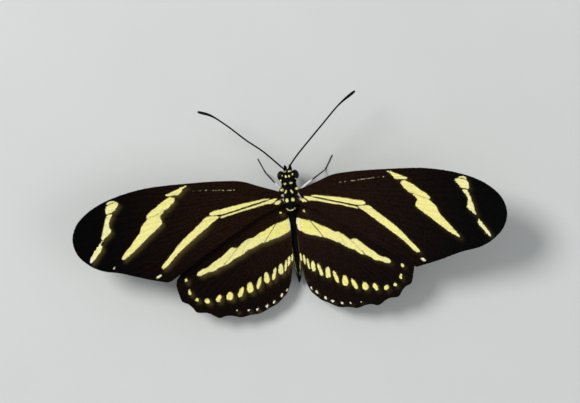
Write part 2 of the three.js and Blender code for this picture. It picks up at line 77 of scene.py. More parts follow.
# %% Camera
CAMERA_DISTANCE = 350.0
CAMERA_TILT = math.radians(7)  # off the back's own normal, towards the right side
CAMERA_ROLL = math.radians(5.7)
FOCAL_PIXELS = 1750.0
IMAGE_WIDTH = 580
SENSOR_WIDTH = 36.0
PICTURE_MIDDLE = (-0.04, -0.8)  # of the thorax centre, across and up in the picture, mm

back = Vector((math.sin(CAMERA_TILT), 0, math.cos(CAMERA_TILT)))
forward_seen = (Vector((0, 1, 0)) - back * back.y).normalized()
right_seen = forward_seen.cross(back)
picture_up = forward_seen * math.cos(CAMERA_ROLL) + right_seen * math.sin(CAMERA_ROLL)
picture_right = picture_up.cross(back)
lens_place = back * CAMERA_DISTANCE + picture_right * PICTURE_MIDDLE[0] + picture_up * PICTURE_MIDDLE[1]
turned = pitched.to_3x3() @ Matrix((picture_right, picture_up, back)).transposed()
camera_data = bpy.data.cameras.new("Camera")
camera_data.sensor_width = SENSOR_WIDTH
camera_data.lens = SENSOR_WIDTH * FOCAL_PIXELS / IMAGE_WIDTH
camera_data.clip_start = 0.01
camera = bpy.data.objects.new("Camera", camera_data)
bpy.context.scene.collection.objects.link(camera)
camera.matrix_world = Matrix.Translation(BODY_TO_SCENE @ lens_place) @ turned.to_4x4()
bpy.context.scene.camera = camera
print("lens", round(camera_data.lens, 1), "mm, height above the floor", round(camera.location.z, 3))

# %% [markdown]
# ## Floor and light
# A museum table: a plain pale floor, one large soft lamp above the left shoulder and a weaker
# one opposite. Large lamps close by give the soft short shadows of an overcast day.

# %% Floor and lamps
ROOM_COLOUR = (0.9, 0.94, 1.0, 1.0)
ROOM_STRENGTH = 0.42
FLOOR_SIDE = 3.0  # metres, far past the picture


def srgb(red, green, blue):
    """A colour given as 0 to 255 screen values, as the linear values that shaders use."""
    shares = [value / 255 for value in (red, green, blue)]
    return tuple(s / 12.92 if s <= 0.04045 else ((s + 0.055) / 1.055) ** 2.4 for s in shares) + (1.0,)


def deselect():
    if bpy.context.object and bpy.context.object.mode != "OBJECT":
        bpy.ops.object.mode_set(mode="OBJECT")
    bpy.ops.object.select_all(action="DESELECT")


def lamp(name, place, size, power):
    light = bpy.data.lights.new(name, "AREA")
    light.shape = "DISK"
    light.size = size
    light.energy = power
    holder = bpy.data.objects.new(name, light)
    holder.location = place
    holder.rotation_euler = (-Vector(place)).to_track_quat("-Z", "Y").to_euler()
    bpy.context.scene.collection.objects.link(holder)


lamp("Key lamp", place=(-0.32, 0.22, 0.62), size=0.3, power=3.7)
lamp("Fill lamp", place=(0.5, -0.25, 0.45), size=0.5, power=1.1)
bpy.context.scene.view_settings.view_transform = "Standard"  # bright yellow stays bright
world = bpy.data.worlds.new("Room")
world.use_nodes = True
room = world.node_tree.nodes["Background"].inputs
room["Color"].default_value = ROOM_COLOUR
room["Strength"].default_value = ROOM_STRENGTH
bpy.context.scene.world = world

deselect()
bpy.ops.mesh.primitive_plane_add(size=FLOOR_SIDE, location=(0, 0, 0))
floor = bpy.context.object
floor.name = "floor"
print("lamps", [light.name for light in bpy.data.lights])

# %% [markdown]
# ## Shader sums
# Materials are easier to read as sums than as wired boxes. A small class holds one socket of a
# node tree, and each operator used on it adds the Math node that does that step.


# %% A socket that can be reckoned with
class Shade:
    """One shader socket. Operators on it add Math nodes to its material."""

    def __init__(self, tree, socket=None):
        self.tree, self.socket = tree, socket

    def node(self, kind, settings=None, sockets=None, output=0):
        made = self.tree.nodes.new(kind)
        for name, value in (settings or {}).items():
            setattr(made, name, value)
        for name, value in (sockets or {}).items():
            if isinstance(value, Shade):
                self.tree.links.new(value.socket, made.inputs[name])
            else:
                made.inputs[name].default_value = value
        return Shade(self.tree, made.outputs[output])

    def maths(self, operation, first, second):
        return self.node("ShaderNodeMath", {"operation": operation}, {0: first, 1: second})

    def __add__(self, other):
        return self.maths("ADD", self, other)

    __radd__ = __add__

    def __sub__(self, other):
        return self.maths("SUBTRACT", self, other)

    def __rsub__(self, other):
        return self.maths("SUBTRACT", other, self)

    def __mul__(self, other):
        return self.maths("MULTIPLY", self, other)

    __rmul__ = __mul__

    def between(self, first, second):
        """A colour between two, by this value."""
        settings = {"data_type": "RGBA", "clamp_factor": True}
        return self.node("ShaderNodeMix", settings, {0: self, 6: first, 7: second}, output=2)

    def dimmed(self, share):
        """This colour, times a value."""
        return self.node("ShaderNodeVectorMath", {"operation": "SCALE"}, {0: self, "Scale": share})


def new_material(name, roughness, specular=0.5):
    """A material, a shade to start its sums from, and its shader."""
    made = bpy.data.materials.new(name)
    made.use_nodes = True
    shader = made.node_tree.nodes["Principled BSDF"]
    shader.inputs["Roughness"].default_value = roughness
    shader.inputs["Specular IOR Level"].default_value = specular
    return made, Shade(made.node_tree), shader


def feed(shade, shader, socket):
    shade.tree.links.new(shade.socket, shader.inputs[socket])


def object_place(shade):
    """The Object coordinates, in metres."""
    return shade.node("ShaderNodeTexCoord", output=3)


def noise(shade, scale, detail=3.0):
    """Even noise through the object, with its grains about 1/scale metres wide."""
    sockets = {"Vector": object_place(shade), "Scale": scale, "Detail": detail}
    return shade.node("ShaderNodeTexNoise", None, sockets)


def bump(shade, shader, height, strength, distance):
    """Dents by a height, over a distance in metres."""
    sockets = {"Strength": strength, "Distance": distance, "Height": height}
    feed(shade.node("ShaderNodeBump", None, sockets), shader, "Normal")


def mottled(name, roughness, specular, grain, colours, dents, strength):
    """A plain finish: two colours mixed by noise, and fine dents."""
    made, shade, shader = new_material(name, roughness, specular)
    feed(noise(shade, grain).between(*colours), shader, "Base Color")
    if dents:
        bump(shade, shader, noise(shade, dents), strength, FINE_DENTS)
    return made


# %% Floor finish
FINE_DENTS = 0.00003  # metres
FLOOR_COLOURS = (srgb(200, 201, 197), srgb(206, 207, 204))
floor_paint = mottled("floor paint", 0.85, 0.5, 40.0, FLOOR_COLOURS, dents=None, strength=0)
floor.data.materials.append(floor_paint)
print(floor_paint.name, len(floor_paint.node_tree.nodes), "nodes")

# %% [markdown]
# ## Making and finishing pieces
# A mesh made of thousands of like parts is written straight from arrays, which is far quicker
# than adding objects one by one. Every finished piece is set among the solids by moving its
# points, so that its object stays at the origin, unturned and unscaled.


# %% Meshes from arrays
def paint(mesh, marks):
    """Keep marks, four numbers for each point, where a material can read them."""
    layer = mesh.color_attributes.new("marks", "FLOAT_COLOR", "POINT")
    layer.data.foreach_set("color", np.asarray(marks, np.float32).ravel())


def places_of(piece):
    """The points of a piece as an array."""
    places = np.empty(len(piece.data.vertices) * 3, np.float32)
    piece.data.vertices.foreach_get("co", places)
    return places.reshape(-1, 3)


def move_points(piece, places):
    piece.data.vertices.foreach_set("co", places.astype(np.float32).ravel())
    piece.data.update()


def smooth(piece):
    piece.data.polygons.foreach_set("use_smooth", np.ones(len(piece.data.polygons), bool))


def mesh_from(name, points, faces, marks, uv):
    """An object from arrays: marks for each point, and a place on the texture square."""
    mesh = bpy.data.meshes.new(name)
    points, faces = np.asarray(points, np.float32), np.asarray(faces, np.int32)
    sides = faces.shape[1]
    mesh.vertices.add(len(points))
    mesh.vertices.foreach_set("co", points.ravel())
    mesh.loops.add(faces.size)
    mesh.loops.foreach_set("vertex_index", faces.ravel())
    mesh.polygons.add(len(faces))
    mesh.polygons.foreach_set("loop_start", np.arange(len(faces), dtype=np.int32) * sides)
    mesh.update(calc_edges=True)
    paint(mesh, marks)
    layer = mesh.uv_layers.new(name="OFBake")
    layer.data.foreach_set("uv", np.asarray(uv, np.float32)[faces.ravel()].ravel())
    piece = bpy.data.objects.new(name, mesh)
    bpy.context.scene.collection.objects.link(piece)
    return piece


# %% Modifiers, joining, and the hand-over of a finished piece
def hand_over(piece, name, material, nodes=()):
    """Set a piece modelled in body millimetres among the solids and say what it is."""
    piece.data.transform(BODY_TO_SCENE @ piece.matrix_world)
    piece.matrix_world = Matrix.Identity(4)
    piece.name = piece.data.name = name
    piece.data.materials.clear()
    piece.data.materials.append(material)
    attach(piece, "root")
    if nodes:
        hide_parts(*nodes)
    print(name, len(piece.data.polygons), "faces")


def modify(piece, kind, **settings):
    """Add a modifier and apply it at once."""
    deselect()
    piece.select_set(True)
    bpy.context.view_layer.objects.active = piece
    modifier = piece.modifiers.new(kind.title(), kind)
    for name, value in settings.items():
        setattr(modifier, name, value)
    bpy.ops.object.modifier_apply(modifier=modifier.name)


def join(pieces):
    deselect()
    for piece in pieces:
        piece.select_set(True)
    bpy.context.view_layer.objects.active = pieces[0]
    bpy.ops.object.join()
    return bpy.context.object


# %% [markdown]
# ## Lines and outlines
# Wings are drawn as flat outlines in millimetres, outward and forward from their hinge, the
# same for both sides. A centripetal spline through a few points gives each smooth margin.


# %% Splines
STEPS_BETWEEN = 16  # fine points between two stations, before they are evened out


def spline(stations, step, closed=False):
    """Points about one step apart on the smooth line through some stations."""
    given = np.array(stations, float)
    if closed:
        given = np.vstack([given[-1:], given, given[:2]])
    else:
        given = np.vstack([2 * given[:1] - given[1:2], given, 2 * given[-1:] - given[-2:-1]])
    fine = []
    share = np.linspace(0, 1, STEPS_BETWEEN, endpoint=False)[:, None]
    for a, b, c, d in zip(given, given[1:], given[2:], given[3:]):
        before, across, after = (max(np.linalg.norm(v) ** 0.5, 1e-3) for v in (b - a, c - b, d - c))
        leave = ((b - a) / before - (c - a) / (before + across) + (c - b) / across) * across
        reach = ((c - b) / across - (d - b) / (across + after) + (d - c) / after) * across
        fine.append(b + leave * share + (3 * (c - b) - 2 * leave - reach) * share**2
                    + (2 * (b - c) + leave + reach) * share**3)
    fine = np.vstack(fine + [given[-2:-1] if not closed else given[1:2]])
    travelled = np.r_[0, np.cumsum(np.linalg.norm(np.diff(fine, axis=0), axis=1))]
    count = max(2, round(travelled[-1] / step))
    even = np.linspace(0, travelled[-1], count + 1)
    line = np.column_stack([np.interp(even, travelled, fine[:, k]) for k in range(fine.shape[1])])
    return line[:-1] if closed else line


print("a spline of", len(spline([(0, 0), (2, 1), (4, 0)], 0.1)), "points")

# %% Distances
BATCH = 4000  # points that are worked out at once, to spare memory
NEAR_OUTLINE = 1.5  # mm beyond an outline past which no depth is worked out
FAR_OUTSIDE = -9.0  # the depth given there
OVAL_SIDES = 24
BLUNTNESS = 0.8  # of an oval: 1 gives an ellipse, less a blunter form
NARROWING = 0.15  # of its front end


def in_batches(work, points):
    """What work gives for each point, worked out a batch at a time."""
    return np.concatenate([work(points[first : first + BATCH]) for first in range(0, len(points), BATCH)])


def gap_to(points, start, edge):
    """How far each point lies from the nearest of some straight edges."""
    offset = points[:, None, :] - start[None]
    along = np.clip((offset * edge).sum(2) / np.maximum((edge**2).sum(1), 1e-12), 0, 1)
    return np.linalg.norm(offset - along[..., None] * edge, axis=2).min(1)


def depth_inside(points, outline):
    """How far each point lies inside a closed outline; less than 0 outside it."""
    following = np.roll(outline, -1, 0)
    edge = following - outline

    def depth(part):
        gap = gap_to(part, outline, edge)
        x, y = part[:, :1], part[:, 1:]
        level = (y - outline[:, 1]) / np.where(edge[:, 1] == 0, 1e-9, edge[:, 1])
        between = (outline[:, 1] > y) != (following[:, 1] > y)
        crosses = between & (x < outline[:, 0] + level * edge[:, 0])
        return np.where(crosses.sum(1) % 2 == 1, gap, -gap)

    return in_batches(depth, points)


def distance_to(points, line):
    """How far each point lies from an open line."""
    return in_batches(lambda part: gap_to(part, line[:-1], np.diff(line, axis=0)), points)


def deepest(points, outlines):
    """The greatest depth of each point in any of the outlines."""
    best = np.full(len(points), FAR_OUTSIDE)
    for outline in outlines:
        low, high = outline.min(0) - NEAR_OUTLINE, outline.max(0) + NEAR_OUTLINE
        near = np.all((points > low) & (points < high), axis=1)
        if near.any():
            best[near] = np.maximum(best[near], depth_inside(points[near], outline))
    return best


def ramp(value, low, high):
    """0 below low, 1 above high, and a soft step between."""
    share = np.clip((value - low) / (high - low), 0, 1)
    return share * share * (3 - 2 * share)


def oval(outward, forward, length, width, lean):
    """An oval spot; lean is how far its hind end points outward, in degrees."""
    angle = np.linspace(0, 2 * math.pi, OVAL_SIDES, endpoint=False)
    x, y = (np.sign(wave) * np.abs(wave) ** BLUNTNESS for wave in (np.cos(angle), np.sin(angle)))
    x, y = 0.5 * width * x * (1 - NARROWING * y), 0.5 * length * y
    cosine, sine = math.cos(math.radians(lean)), math.sin(math.radians(lean))
    return np.column_stack([outward + x * cosine - y * sine, forward + x * sine + y * cosine])


spot = oval(0, 0, length=1, width=0.5, lean=0)
print("a spot is", round(float(deepest(np.zeros((1, 2)), [spot])[0]), 3), "deep at its middle")


# %% [markdown]
# ## Wing outlines, veins and placing
# The numbers repeat those of the solids, so that the thin wing made here lies in the middle of
# the thicker solid one. Each side's wings are raised about a line beside the back.

# %% Outline of the forewing, and how each wing is set on the body
WING_PIVOT = (1.9, 1.2)  # outward and up, the line about which a side's wings rise
WING_DROOP = 0.0011  # sag of the spread wing, per mm outward squared
WING_RAISE = {"left": math.radians(9.5), "right": math.radians(15.7)}
SWEEP = {
    "fore": {"left": math.radians(1.7), "right": math.radians(-1.7)},
    "hind": {"left": math.radians(0.5), "right": math.radians(-0.5)},
}
HINGE = {"fore": (1.9, 0.0), "hind": (1.48, -2.2)}
LAYER = {"fore": 0.0, "hind": -1.1}  # hindwing below forewing
FORE_LEADING = [
    (-0.9, 1.0), (0.4, 1.5), (3.9, 2.7), (7.4, 3.9), (11.5, 4.25), (18.5, 4.25), (26.5, 3.85),
    (31.5, 2.85), (35.6, 1.4), (38.6, -0.35), (40.8, -2.6), (41.7, -5.3), (41.1, -8.1),
    (39.3, -10.2), (36.6, -11.8), (32.4, -12.7), (27.6, -14.1), (23.4, -15.1),
]
FORE_INNER = [(22.6, -14.9), (15.5, -10.2), (8.0, -5.5), (3.0, -2.7), (-0.9, -1.2)]
MARGIN_STEP = 0.35
FRINGE_STEP = 0.12  # spacing of the long scales round the outer margin
VEIN_STEP = 0.4
FORE_CORNER = 7  # the station of the leading edge where the outer margin starts


def even_lines(routes, step):
    return [spline(route, step) for route in routes]


OUTLINE = {"fore": np.vstack(even_lines([FORE_LEADING, FORE_INNER], MARGIN_STEP))}
OUTER_MARGIN = {"fore": spline(FORE_LEADING[FORE_CORNER:], FRINGE_STEP)}
print("forewing outline", len(OUTLINE["fore"]), "points")

# %% Outline of the hindwing
HIND_LEADING = [
    (-0.6, 0.7), (1.6, 1.0), (6.0, 0.3), (11.0, -2.2), (16.0, -5.6), (20.0, -9.2), (22.3, -12.2),
]
HIND_OUTER = [  # drawn out a little where a vein ends, hollowed between
    (22.5, -13.2), (22.3, -14.2), (22.05, -15.2), (21.8, -16.1), (21.45, -16.65), (20.6, -17),
    (19.9, -17.6), (19.4, -18.2), (18.95, -18.85), (18.2, -19.08), (17.2, -19.1), (16.4, -19.35),
    (15.7, -19.75), (15, -20.2), (14.3, -20.4), (13.6, -20.2), (12.8, -20.08), (11.7, -20.22),
    (10.9, -20.48), (10, -20.66), (9.1, -20.47), (8.2, -20.34), (7.2, -20.28), (6.4, -20.2),
    (5.5, -19.85), (4.7, -19.45), (3.8, -19.05), (3, -18.7), (2.2, -18.1), (1.4, -17.4), (0.8, -16.8),
    (0.3, -15.9), (0, -15.1), (-0.4, -14.2),
]
HIND_INNER = [(-0.5, -13.4), (-1.05, -10.5), (-1.15, -7.0), (-1.2, -3.6), (-0.9, -1.5)]
OUTLINE["hind"] = np.vstack(even_lines([HIND_LEADING, HIND_OUTER, HIND_INNER], MARGIN_STEP))
OUTER_MARGIN["hind"] = spline(HIND_OUTER, FRINGE_STEP)
for kind, line in OUTLINE.items():
    print(kind, "outline of", len(line), "points, span", np.round(line.max(0) - line.min(0), 1))

# %% Veins
FORE_VEINS = [
    [(0.1, 1.0), (4, 1.9), (9, 3.0), (14, 3.5), (19.2, 3.8)],
    [(0, 0.4), (4, 1.1), (9, 1.7), (15, 2.1), (21, 2.2), (25, 2.1), (29, 1.4)],
    [(14, 2.1), (18, 2.9), (22.5, 3.6)],
    [(18, 2.2), (23, 2.9), (27.5, 3.2)],
    [(25, 2.1), (29, 2.3), (33.2, 1.9)],
    [(29, 1.4), (32.3, 1.3), (34.4, 1.0), (37.6, -0.2)],
    [(29, 1.4), (31.5, 0.4), (33.9, -0.8), (37, -2.6), (41, -5.4)],
    [(20.9, 1.7), (24, 0.4), (28, -1.7), (32, -3.9), (35.7, -5.9), (40.2, -8.6)],
    [(21.4, -0.2), (23.2, -0.9), (26.8, -2.2), (31.5, -5.4), (37.9, -10.5)],
    [(19.6, -3.0), (23.5, -4.4), (27.3, -6.8), (34.2, -11.8)],
    [(20.8, 2.2), (21.3, 0.8), (21.4, -0.2), (20.9, -1.6), (19.6, -3.0)],
    [(0.1, -0.2), (2.8, -0.3), (5.4, -0.9), (12.2, -2.6), (15.6, -3.2), (19.6, -3.0)],
    [(15.6, -3.2), (18.5, -5.3), (21.5, -8.1), (25.5, -11.3), (29.3, -13.0)],
    [(12.2, -2.6), (13.6, -4.1), (16, -6.2), (19.4, -9.2), (22.3, -11.9), (25.4, -13.9)],
    [(0, -0.7), (4, -2.3), (9, -5.2), (15, -9.1), (22.2, -13.9)],
]
HIND_VEINS = [
    [(0.1, 0.3), (4, 0.1), (9, -1.8), (15, -5.9), (20.9, -10.8)],
    [(0.1, -0.1), (3.5, -1.4), (8, -3.5), (14, -7.2), (21.8, -13.1)],
    [(5.2, -2.2), (9.5, -5.2), (15, -9.9), (20.1, -14), (21.3, -15.5)],
    [(8, -5), (9.9, -7), (13, -10.5), (17.5, -16.4), (18.9, -18.1)],
    [(7.4, -8.7), (10.3, -12.5), (13.2, -16.6), (14.5, -19.6)],
    [(6.5, -2.9), (8, -5), (7.4, -8.7)],
    [(0.1, -0.8), (1.9, -2.9), (4.5, -6.2), (6, -8), (7.4, -8.7)],
    [(6, -8), (7.8, -12), (9, -15.5), (9.9, -19.9)],
    [(4.5, -6.2), (5.2, -10), (5.4, -13.8), (6, -19.3)],
    [(0, -1), (1.3, -5), (2, -9), (2.3, -12.5), (2.8, -17.4)],
    [(-0.4, -1.2), (-0.2, -5), (0.1, -9), (0.4, -12), (0.5, -15.3)],
]
VEINS = {"fore": even_lines(FORE_VEINS, VEIN_STEP), "hind": even_lines(HIND_VEINS, VEIN_STEP)}
print("veins", {kind: len(lines) for kind, lines in VEINS.items()})


# %% From a flat wing to its place on the body
def on_wing(side, kind, flat, height):
    """Flat wing places and heights over the wing's own middle, in the body frame."""
    sweep, raised, hinge = SWEEP[kind][side], WING_RAISE[side], HINGE[kind]
    outward = flat[:, 0] * math.cos(sweep) - flat[:, 1] * math.sin(sweep) + hinge[0] - WING_PIVOT[0]
    forward = flat[:, 0] * math.sin(sweep) + flat[:, 1] * math.cos(sweep) + hinge[1]
    level = LAYER[kind] - WING_DROOP * flat[:, 0] ** 2 + height
    x = WING_PIVOT[0] + outward * math.cos(raised) - level * math.sin(raised)
    z = WING_PIVOT[1] + outward * math.sin(raised) + level * math.cos(raised)
    return np.column_stack([x if side == "right" else -x, forward, z])


for side in ("left", "right"):
    outward = np.abs(on_wing(side, "fore", OUTLINE["fore"], 0)[:, 0])
    print(side, "forewing reaches", round(float(outward.max()), 1), "mm out")

# %% [markdown]
# ## Markings
# On the real wing a band is only where pale scales grow instead of dark ones, so its edge is as
# ragged as the scales are large. The bands and spots are drawn here as outlines measured in the
# flat wing. Every scale asks them whether it is pale, and so does the skin under the scales.

# %% Outlines of the forewing's bands and spots
FORE_BANDS = [  # two median strips, patch, slanted band, band beyond the cell in three parts,
    # and the band before the tip in four
    [(2.37, 0.08), (3.34, 0.14), (4.44, -0.06), (5.95, -0.26), (7.46, -0.48), (8.76, -0.73), (9.96, -0.93),
     (10.95, -1.15), (12.24, -1.41), (13.34, -1.61), (13.8, -1.82), (14.03, -2.1), (14, -2.32),
     (13.7, -2.42), (12.95, -2.43), (11.84, -2.33), (10.54, -2.02), (9.06, -1.66), (7.58, -1.27),
     (6.11, -0.89), (4.72, -0.54), (3.34, -0.22), (2.5, -0.05)],
    [(0.78, 0.05), (1.59, -0), (2.76, -0.3), (4.23, -0.69), (5.58, -1.06), (7.05, -1.42), (8.51, -1.79),
     (10.07, -2.19), (11.54, -2.57), (12, -2.7), (12.17, -2.88), (12.08, -3.05), (11.8, -3.03),
     (11.16, -2.82), (10.08, -2.57), (8.81, -2.22), (7.34, -1.91), (5.86, -1.59), (4.49, -1.25),
     (3.12, -0.97), (2.12, -0.86), (1.7, -0.82), (1.2, -0.4)],
    [(0.12, -0.42), (0.62, -0.34), (1.45, -1.0), (0.9, -1.12), (0.4, -1.0)],
    [(12.36, -2.72), (12.66, -2.63), (13.5, -2.58), (14.23, -2.6), (14.83, -2.72), (15.24, -3.03),
     (16.13, -3.83), (17.34, -4.85), (18.54, -5.86), (19.54, -6.71), (20.58, -7.7), (21.45, -8.67),
     (22.38, -9.77), (23.34, -10.83), (24.04, -11.58), (24.27, -12.05), (24.15, -12.33), (23.69, -12.22),
     (23.14, -11.88), (22.4, -11.12), (21.31, -9.98), (20.34, -9.09), (19.12, -8.08), (17.87, -7.1),
     (16.64, -6.12), (15.4, -5.16), (14.25, -4.3), (13.13, -3.4), (12.58, -2.99)],
    [(18.5, 3.8), (19.3, 3.7), (20.3, 3.3), (21.2, 2.9), (22.8, 2.2), (22.2, 2), (21.2, 2.1), (20.2, 2.2),
     (19.8, 2.6), (19.2, 3.3)],
    [(21.15, 1.2), (21.35, 1.62), (21.8, 1.8), (22.3, 1.7), (22.85, 1.4), (24.3, 0.4), (25.1, -0.2),
     (26.4, -1.2), (26.9, -1.85), (26.8, -2.15), (26.4, -2.2), (25, -1.55), (23.8, -1.0), (22.6, -0.5),
     (22.25, -0.1), (21.65, 0.5)],
    [(23.4, -0.95), (24, -1.6), (24.22, -2.1), (23.85, -3), (23.9, -3.4), (24.2, -3.7), (26.6, -5.7),
     (29, -7.8), (31.1, -9.4), (31.8, -9.9), (32.25, -10.02), (32.25, -9.6), (31.7, -8.75), (30.5, -7.45),
     (29.4, -6.05), (28.55, -5.1), (27.95, -3.65), (27.05, -2.65), (26.5, -2.15), (24.1, -1.05)],
    [(32.45, 1.35), (32.9, 1.72), (33.5, 1.85), (34.2, 1.62), (34.6, 1.2), (34.3, 1.12), (33.6, 1.4),
     (32.9, 1.55)],
    [(32.15, 1.25), (32.5, 1.42), (33.4, 1.3), (34.4, 0.95), (34.6, 0.65), (34.8, 0.1), (34.88, -0.35),
     (34.6, -0.75), (34.2, -0.66), (33.55, -0.48), (33.15, -0.2), (32.65, 0.35)],
    [(33.5, -0.84), (33.9, -0.79), (34.4, -0.92), (34.9, -1.6), (35.25, -2.8), (35.6, -4), (35.85, -5.2),
     (36, -5.72), (35.65, -5.82), (35.2, -5.45), (34.35, -4.65), (34, -4.1), (34.25, -3.35), (34.3, -2.7),
     (34.05, -1.9)],
    [(35.7, -5.92), (36.3, -6.4), (37.1, -7.4), (37.8, -8.4), (38.4, -9.4), (38.55, -10), (38.4, -10.25),
     (38.05, -10.05), (37.4, -9.35), (36.7, -8.45), (36.05, -7.65), (35.92, -7.3), (36.1, -6.7)],
]
FORE_SPOTS = [(34.05, -11.55, 0.62, 0.18, 40), (24.88, -13.78, 1.1, 0.44, 59)]
FORE_DARK_LINES = [  # dark veins that cross a band: line, half width, darkness
    ([(0.5, 0.2), (1.07, -0.43), (1.66, -0.98)], 0.1, 0.9),
    ([(22.7, -0.5), (24.1, -1.08), (26.5, -2.17)], 0.06, 0.4),
]
ROOT_STREAKS = {  # greyish streaks on the very root, different on the two sides
    "left": [(-0.36, 0.6, 0.5, 0.32, 10), (-0.56, -0.55, 1.3, 0.28, -36)],
    "right": [(-0.17, 0.39, 0.8, 0.3, 27), (0.15, -0.15, 0.25, 0.25, 0), (0.08, -0.5, 0.45, 0.5, 0)],
}
COSTAL_STREAK = [(8.8, 2.28), (11.5, 2.43), (13.5, 2.57), (15.5, 2.7), (18.2, 2.8)]
print("forewing:", len(FORE_BANDS), "pieces of bands,", len(FORE_SPOTS), "spots")

# %% Outlines of the hindwing's band and spots
HIND_BANDS = [
    [(-1.2, -2.2), (-0.75, -1.95), (-0.1, -2.1), (0.9, -2.5), (2.0, -2.7), (3.0, -3.2), (4.0, -3.8),
     (5.0, -4.2), (6.0, -4.8), (7.0, -5.3), (7.6, -5.35), (9.0, -6.25), (10.0, -7.05), (11.0, -6.95),
     (12.0, -7.6), (13.0, -8.5), (13.9, -9.2), (14.9, -9.9), (15.8, -10.75), (16.8, -11.1), (17.75, -11.6),
     (18.0, -12.15), (17.3, -12.35), (16.7, -12.1), (15.7, -11.7), (14.7, -11.5), (13.8, -10.8),
     (12.8, -10.35), (11.7, -9.95), (10.8, -9.2), (9.8, -8.85), (8.8, -8.3), (7.8, -7.6), (6.8, -7.2),
     (5.8, -6.65), (4.8, -6.3), (4.2, -6.2), (2.7, -5.7), (1.7, -5.5), (0.7, -5.1), (-0.3, -4.6),
     (-0.85, -4.2), (-0.95, -3.3), (-1.25, -2.9)],
]
HIND_SPOTS = [  # outward, forward, length, width, lean
    (-0.80, -9.76, 1.6, 0.46, 6), (-0.08, -10.31, 1.95, 0.52, 10), (0.65, -11.22, 2.2, 0.43, 10),
    (1.70, -11.8, 2.1, 0.92, 4), (3.08, -12.62, 2.6, 0.64, 18), (4.67, -13.26, 2.2, 1.04, 0),
    (6.27, -14.22, 2.5, 0.72, 20), (8.15, -15.11, 2.05, 1.18, 3), (10.0, -15.90, 2.2, 0.84, 26),
    (12.23, -16.48, 1.55, 1.24, 15), (14.33, -16.77, 1.45, 0.82, 28), (16.54, -17.06, 0.85, 1.02, 40),
    (18.46, -16.62, 0.62, 0.66, 0), (19.72, -15.1, 1.0, 0.5, -8), (20.22, -12.95, 0.78, 0.5, 25),
    (0.77, -0.62, 0.44, 0.5, 0),
]
MARGIN_SPOTS = [
    (-0.35, -14.05, 0.3, 0.22, 30), (0.85, -16.1, 0.66, 0.28, 28), (1.98, -16.98, 0.74, 0.38, 25),
    (3.65, -18.23, 0.74, 0.4, 35), (5.14, -18.97, 0.66, 0.46, 60), (7.1, -19.5, 0.5, 0.38, 40),
    (8.82, -19.6, 0.5, 0.3, 70), (11.11, -19.51, 0.26, 0.22, 50),
]
HIND_DARK_LINES = [
    ([(1.77, -2.6), (3.2, -4.45), (4.6, -6.4)], 0.07, 0.88),
    ([(9.9, -7.0), (13.0, -10.5)], 0.06, 0.35), ([(12.2, -9.5), (13.0, -10.5)], 0.06, 0.7),
    ([(7.45, -5.45), (9.2, -8.45)], 0.06, 0.25),
]
print("hindwing:", len(HIND_BANDS), "band,", len(HIND_SPOTS), "spots,", len(MARGIN_SPOTS), "by the margin")


# %% The marks of each wing, and how the two sides differ
def loops(bands, spots):
    return [spline(band, 0.2, closed=True) for band in bands] + [oval(*spot) for spot in spots]


PALE = {"fore": loops(FORE_BANDS, FORE_SPOTS), "hind": loops(HIND_BANDS, HIND_SPOTS + MARGIN_SPOTS)}
DARK_LINES = {"fore": FORE_DARK_LINES, "hind": HIND_DARK_LINES}
# BROAD: the marks beside which painted light through the wing is drawn as a dim rim
BROAD = {"fore": loops(FORE_BANDS, []), "hind": PALE["hind"]}
SHIFT_OF_BANDS = [(0, 0.23), (8, 0.16), (12, -0.12), (18, 0), (22, 0.2), (28, 0)]  # (across, outward)
SHIFT_OF_SPOTS = [(10, -0.2), (20, 0.3)]  # on the left hindwing


def unlike(side, kind, places):
    """Where the marks of the two sides, which are never quite alike, are looked up."""
    outward, forward = places.T
    if kind == "fore":
        moved = np.interp(outward + 0.9 * forward, *zip(*SHIFT_OF_BANDS))
        return places - np.column_stack([moved if side == "right" else -moved, 0 * moved])
    if side == "right":
        return places
    lift = 0.25 * ramp(outward, 4, 10) + 0.4 * ramp(outward, 12.5, 16.5) * ramp(forward, -15, -13)
    return places - np.column_stack([np.interp(outward, *zip(*SHIFT_OF_SPOTS)), lift])


print("pale outlines", {kind: len(outlines) for kind, outlines in PALE.items()})

# %% How pale, how warm and how white a place on a wing is
PALE_EDGE = (-0.02, 0.03)  # depths between which a mark's edge fades
NARROWER = 0.13  # the right forewing's last band, each side, from here outward
LAST_BAND_FROM = 31
GLOW_SHIFT = 0.45  # of the soft dim rim, painted light that the far face's pattern lets through the wing
GLOW_LEAN = -1.2  # of that shift, hindward
GLOW_DEPTHS = (-1.0, 0.65)
# how strong the painted light through the wing is on each side
GLOW_STRENGTH = {"left": 0.65, "right": 0.3}
COSTAL_HALF_WIDTH = 0.04
GREYISH = 0.6  # how pale the streaks by the costa and on the root are
INNER_STREAK = 0.75  # of the whitish streak by the inner margin of a hindwing, inward of its hinge
STREAKS_FROM = (-4, 2)  # where the lengthwise streaks of the dark ground fan out from


def fore_details(side, real, places, ragged, chance):
    """Whiteness and warmth of a forewing, its greyish streaks, and where its rim of painted light through the
    wing shows.
    """
    outward, forward = places.T
    streak = distance_to(places, spline(COSTAL_STREAK, 1.0)) + ragged < COSTAL_HALF_WIDTH
    broken = streak * (chance.random(len(places)) < 0.5)
    grey = deepest(places, [oval(*spot) for spot in ROOT_STREAKS[side]]) + ragged > 0
    reach = np.hypot(outward, forward)
    near_margin = 1 - ramp(depth_inside(real, OUTLINE["fore"]), 1.0, 2.0)
    whiteness = 0.1 + 0.2 * ramp(outward, 30, 36) + 0.45 * near_margin * (forward < -7)
    whiteness = np.maximum(whiteness, np.maximum(0.3 * streak, 0.8 * grey))
    greyish = GREYISH * np.maximum(broken, grey)
    return whiteness, 1 - ramp(reach, 8, 38), greyish, ramp(reach, 13, 17)


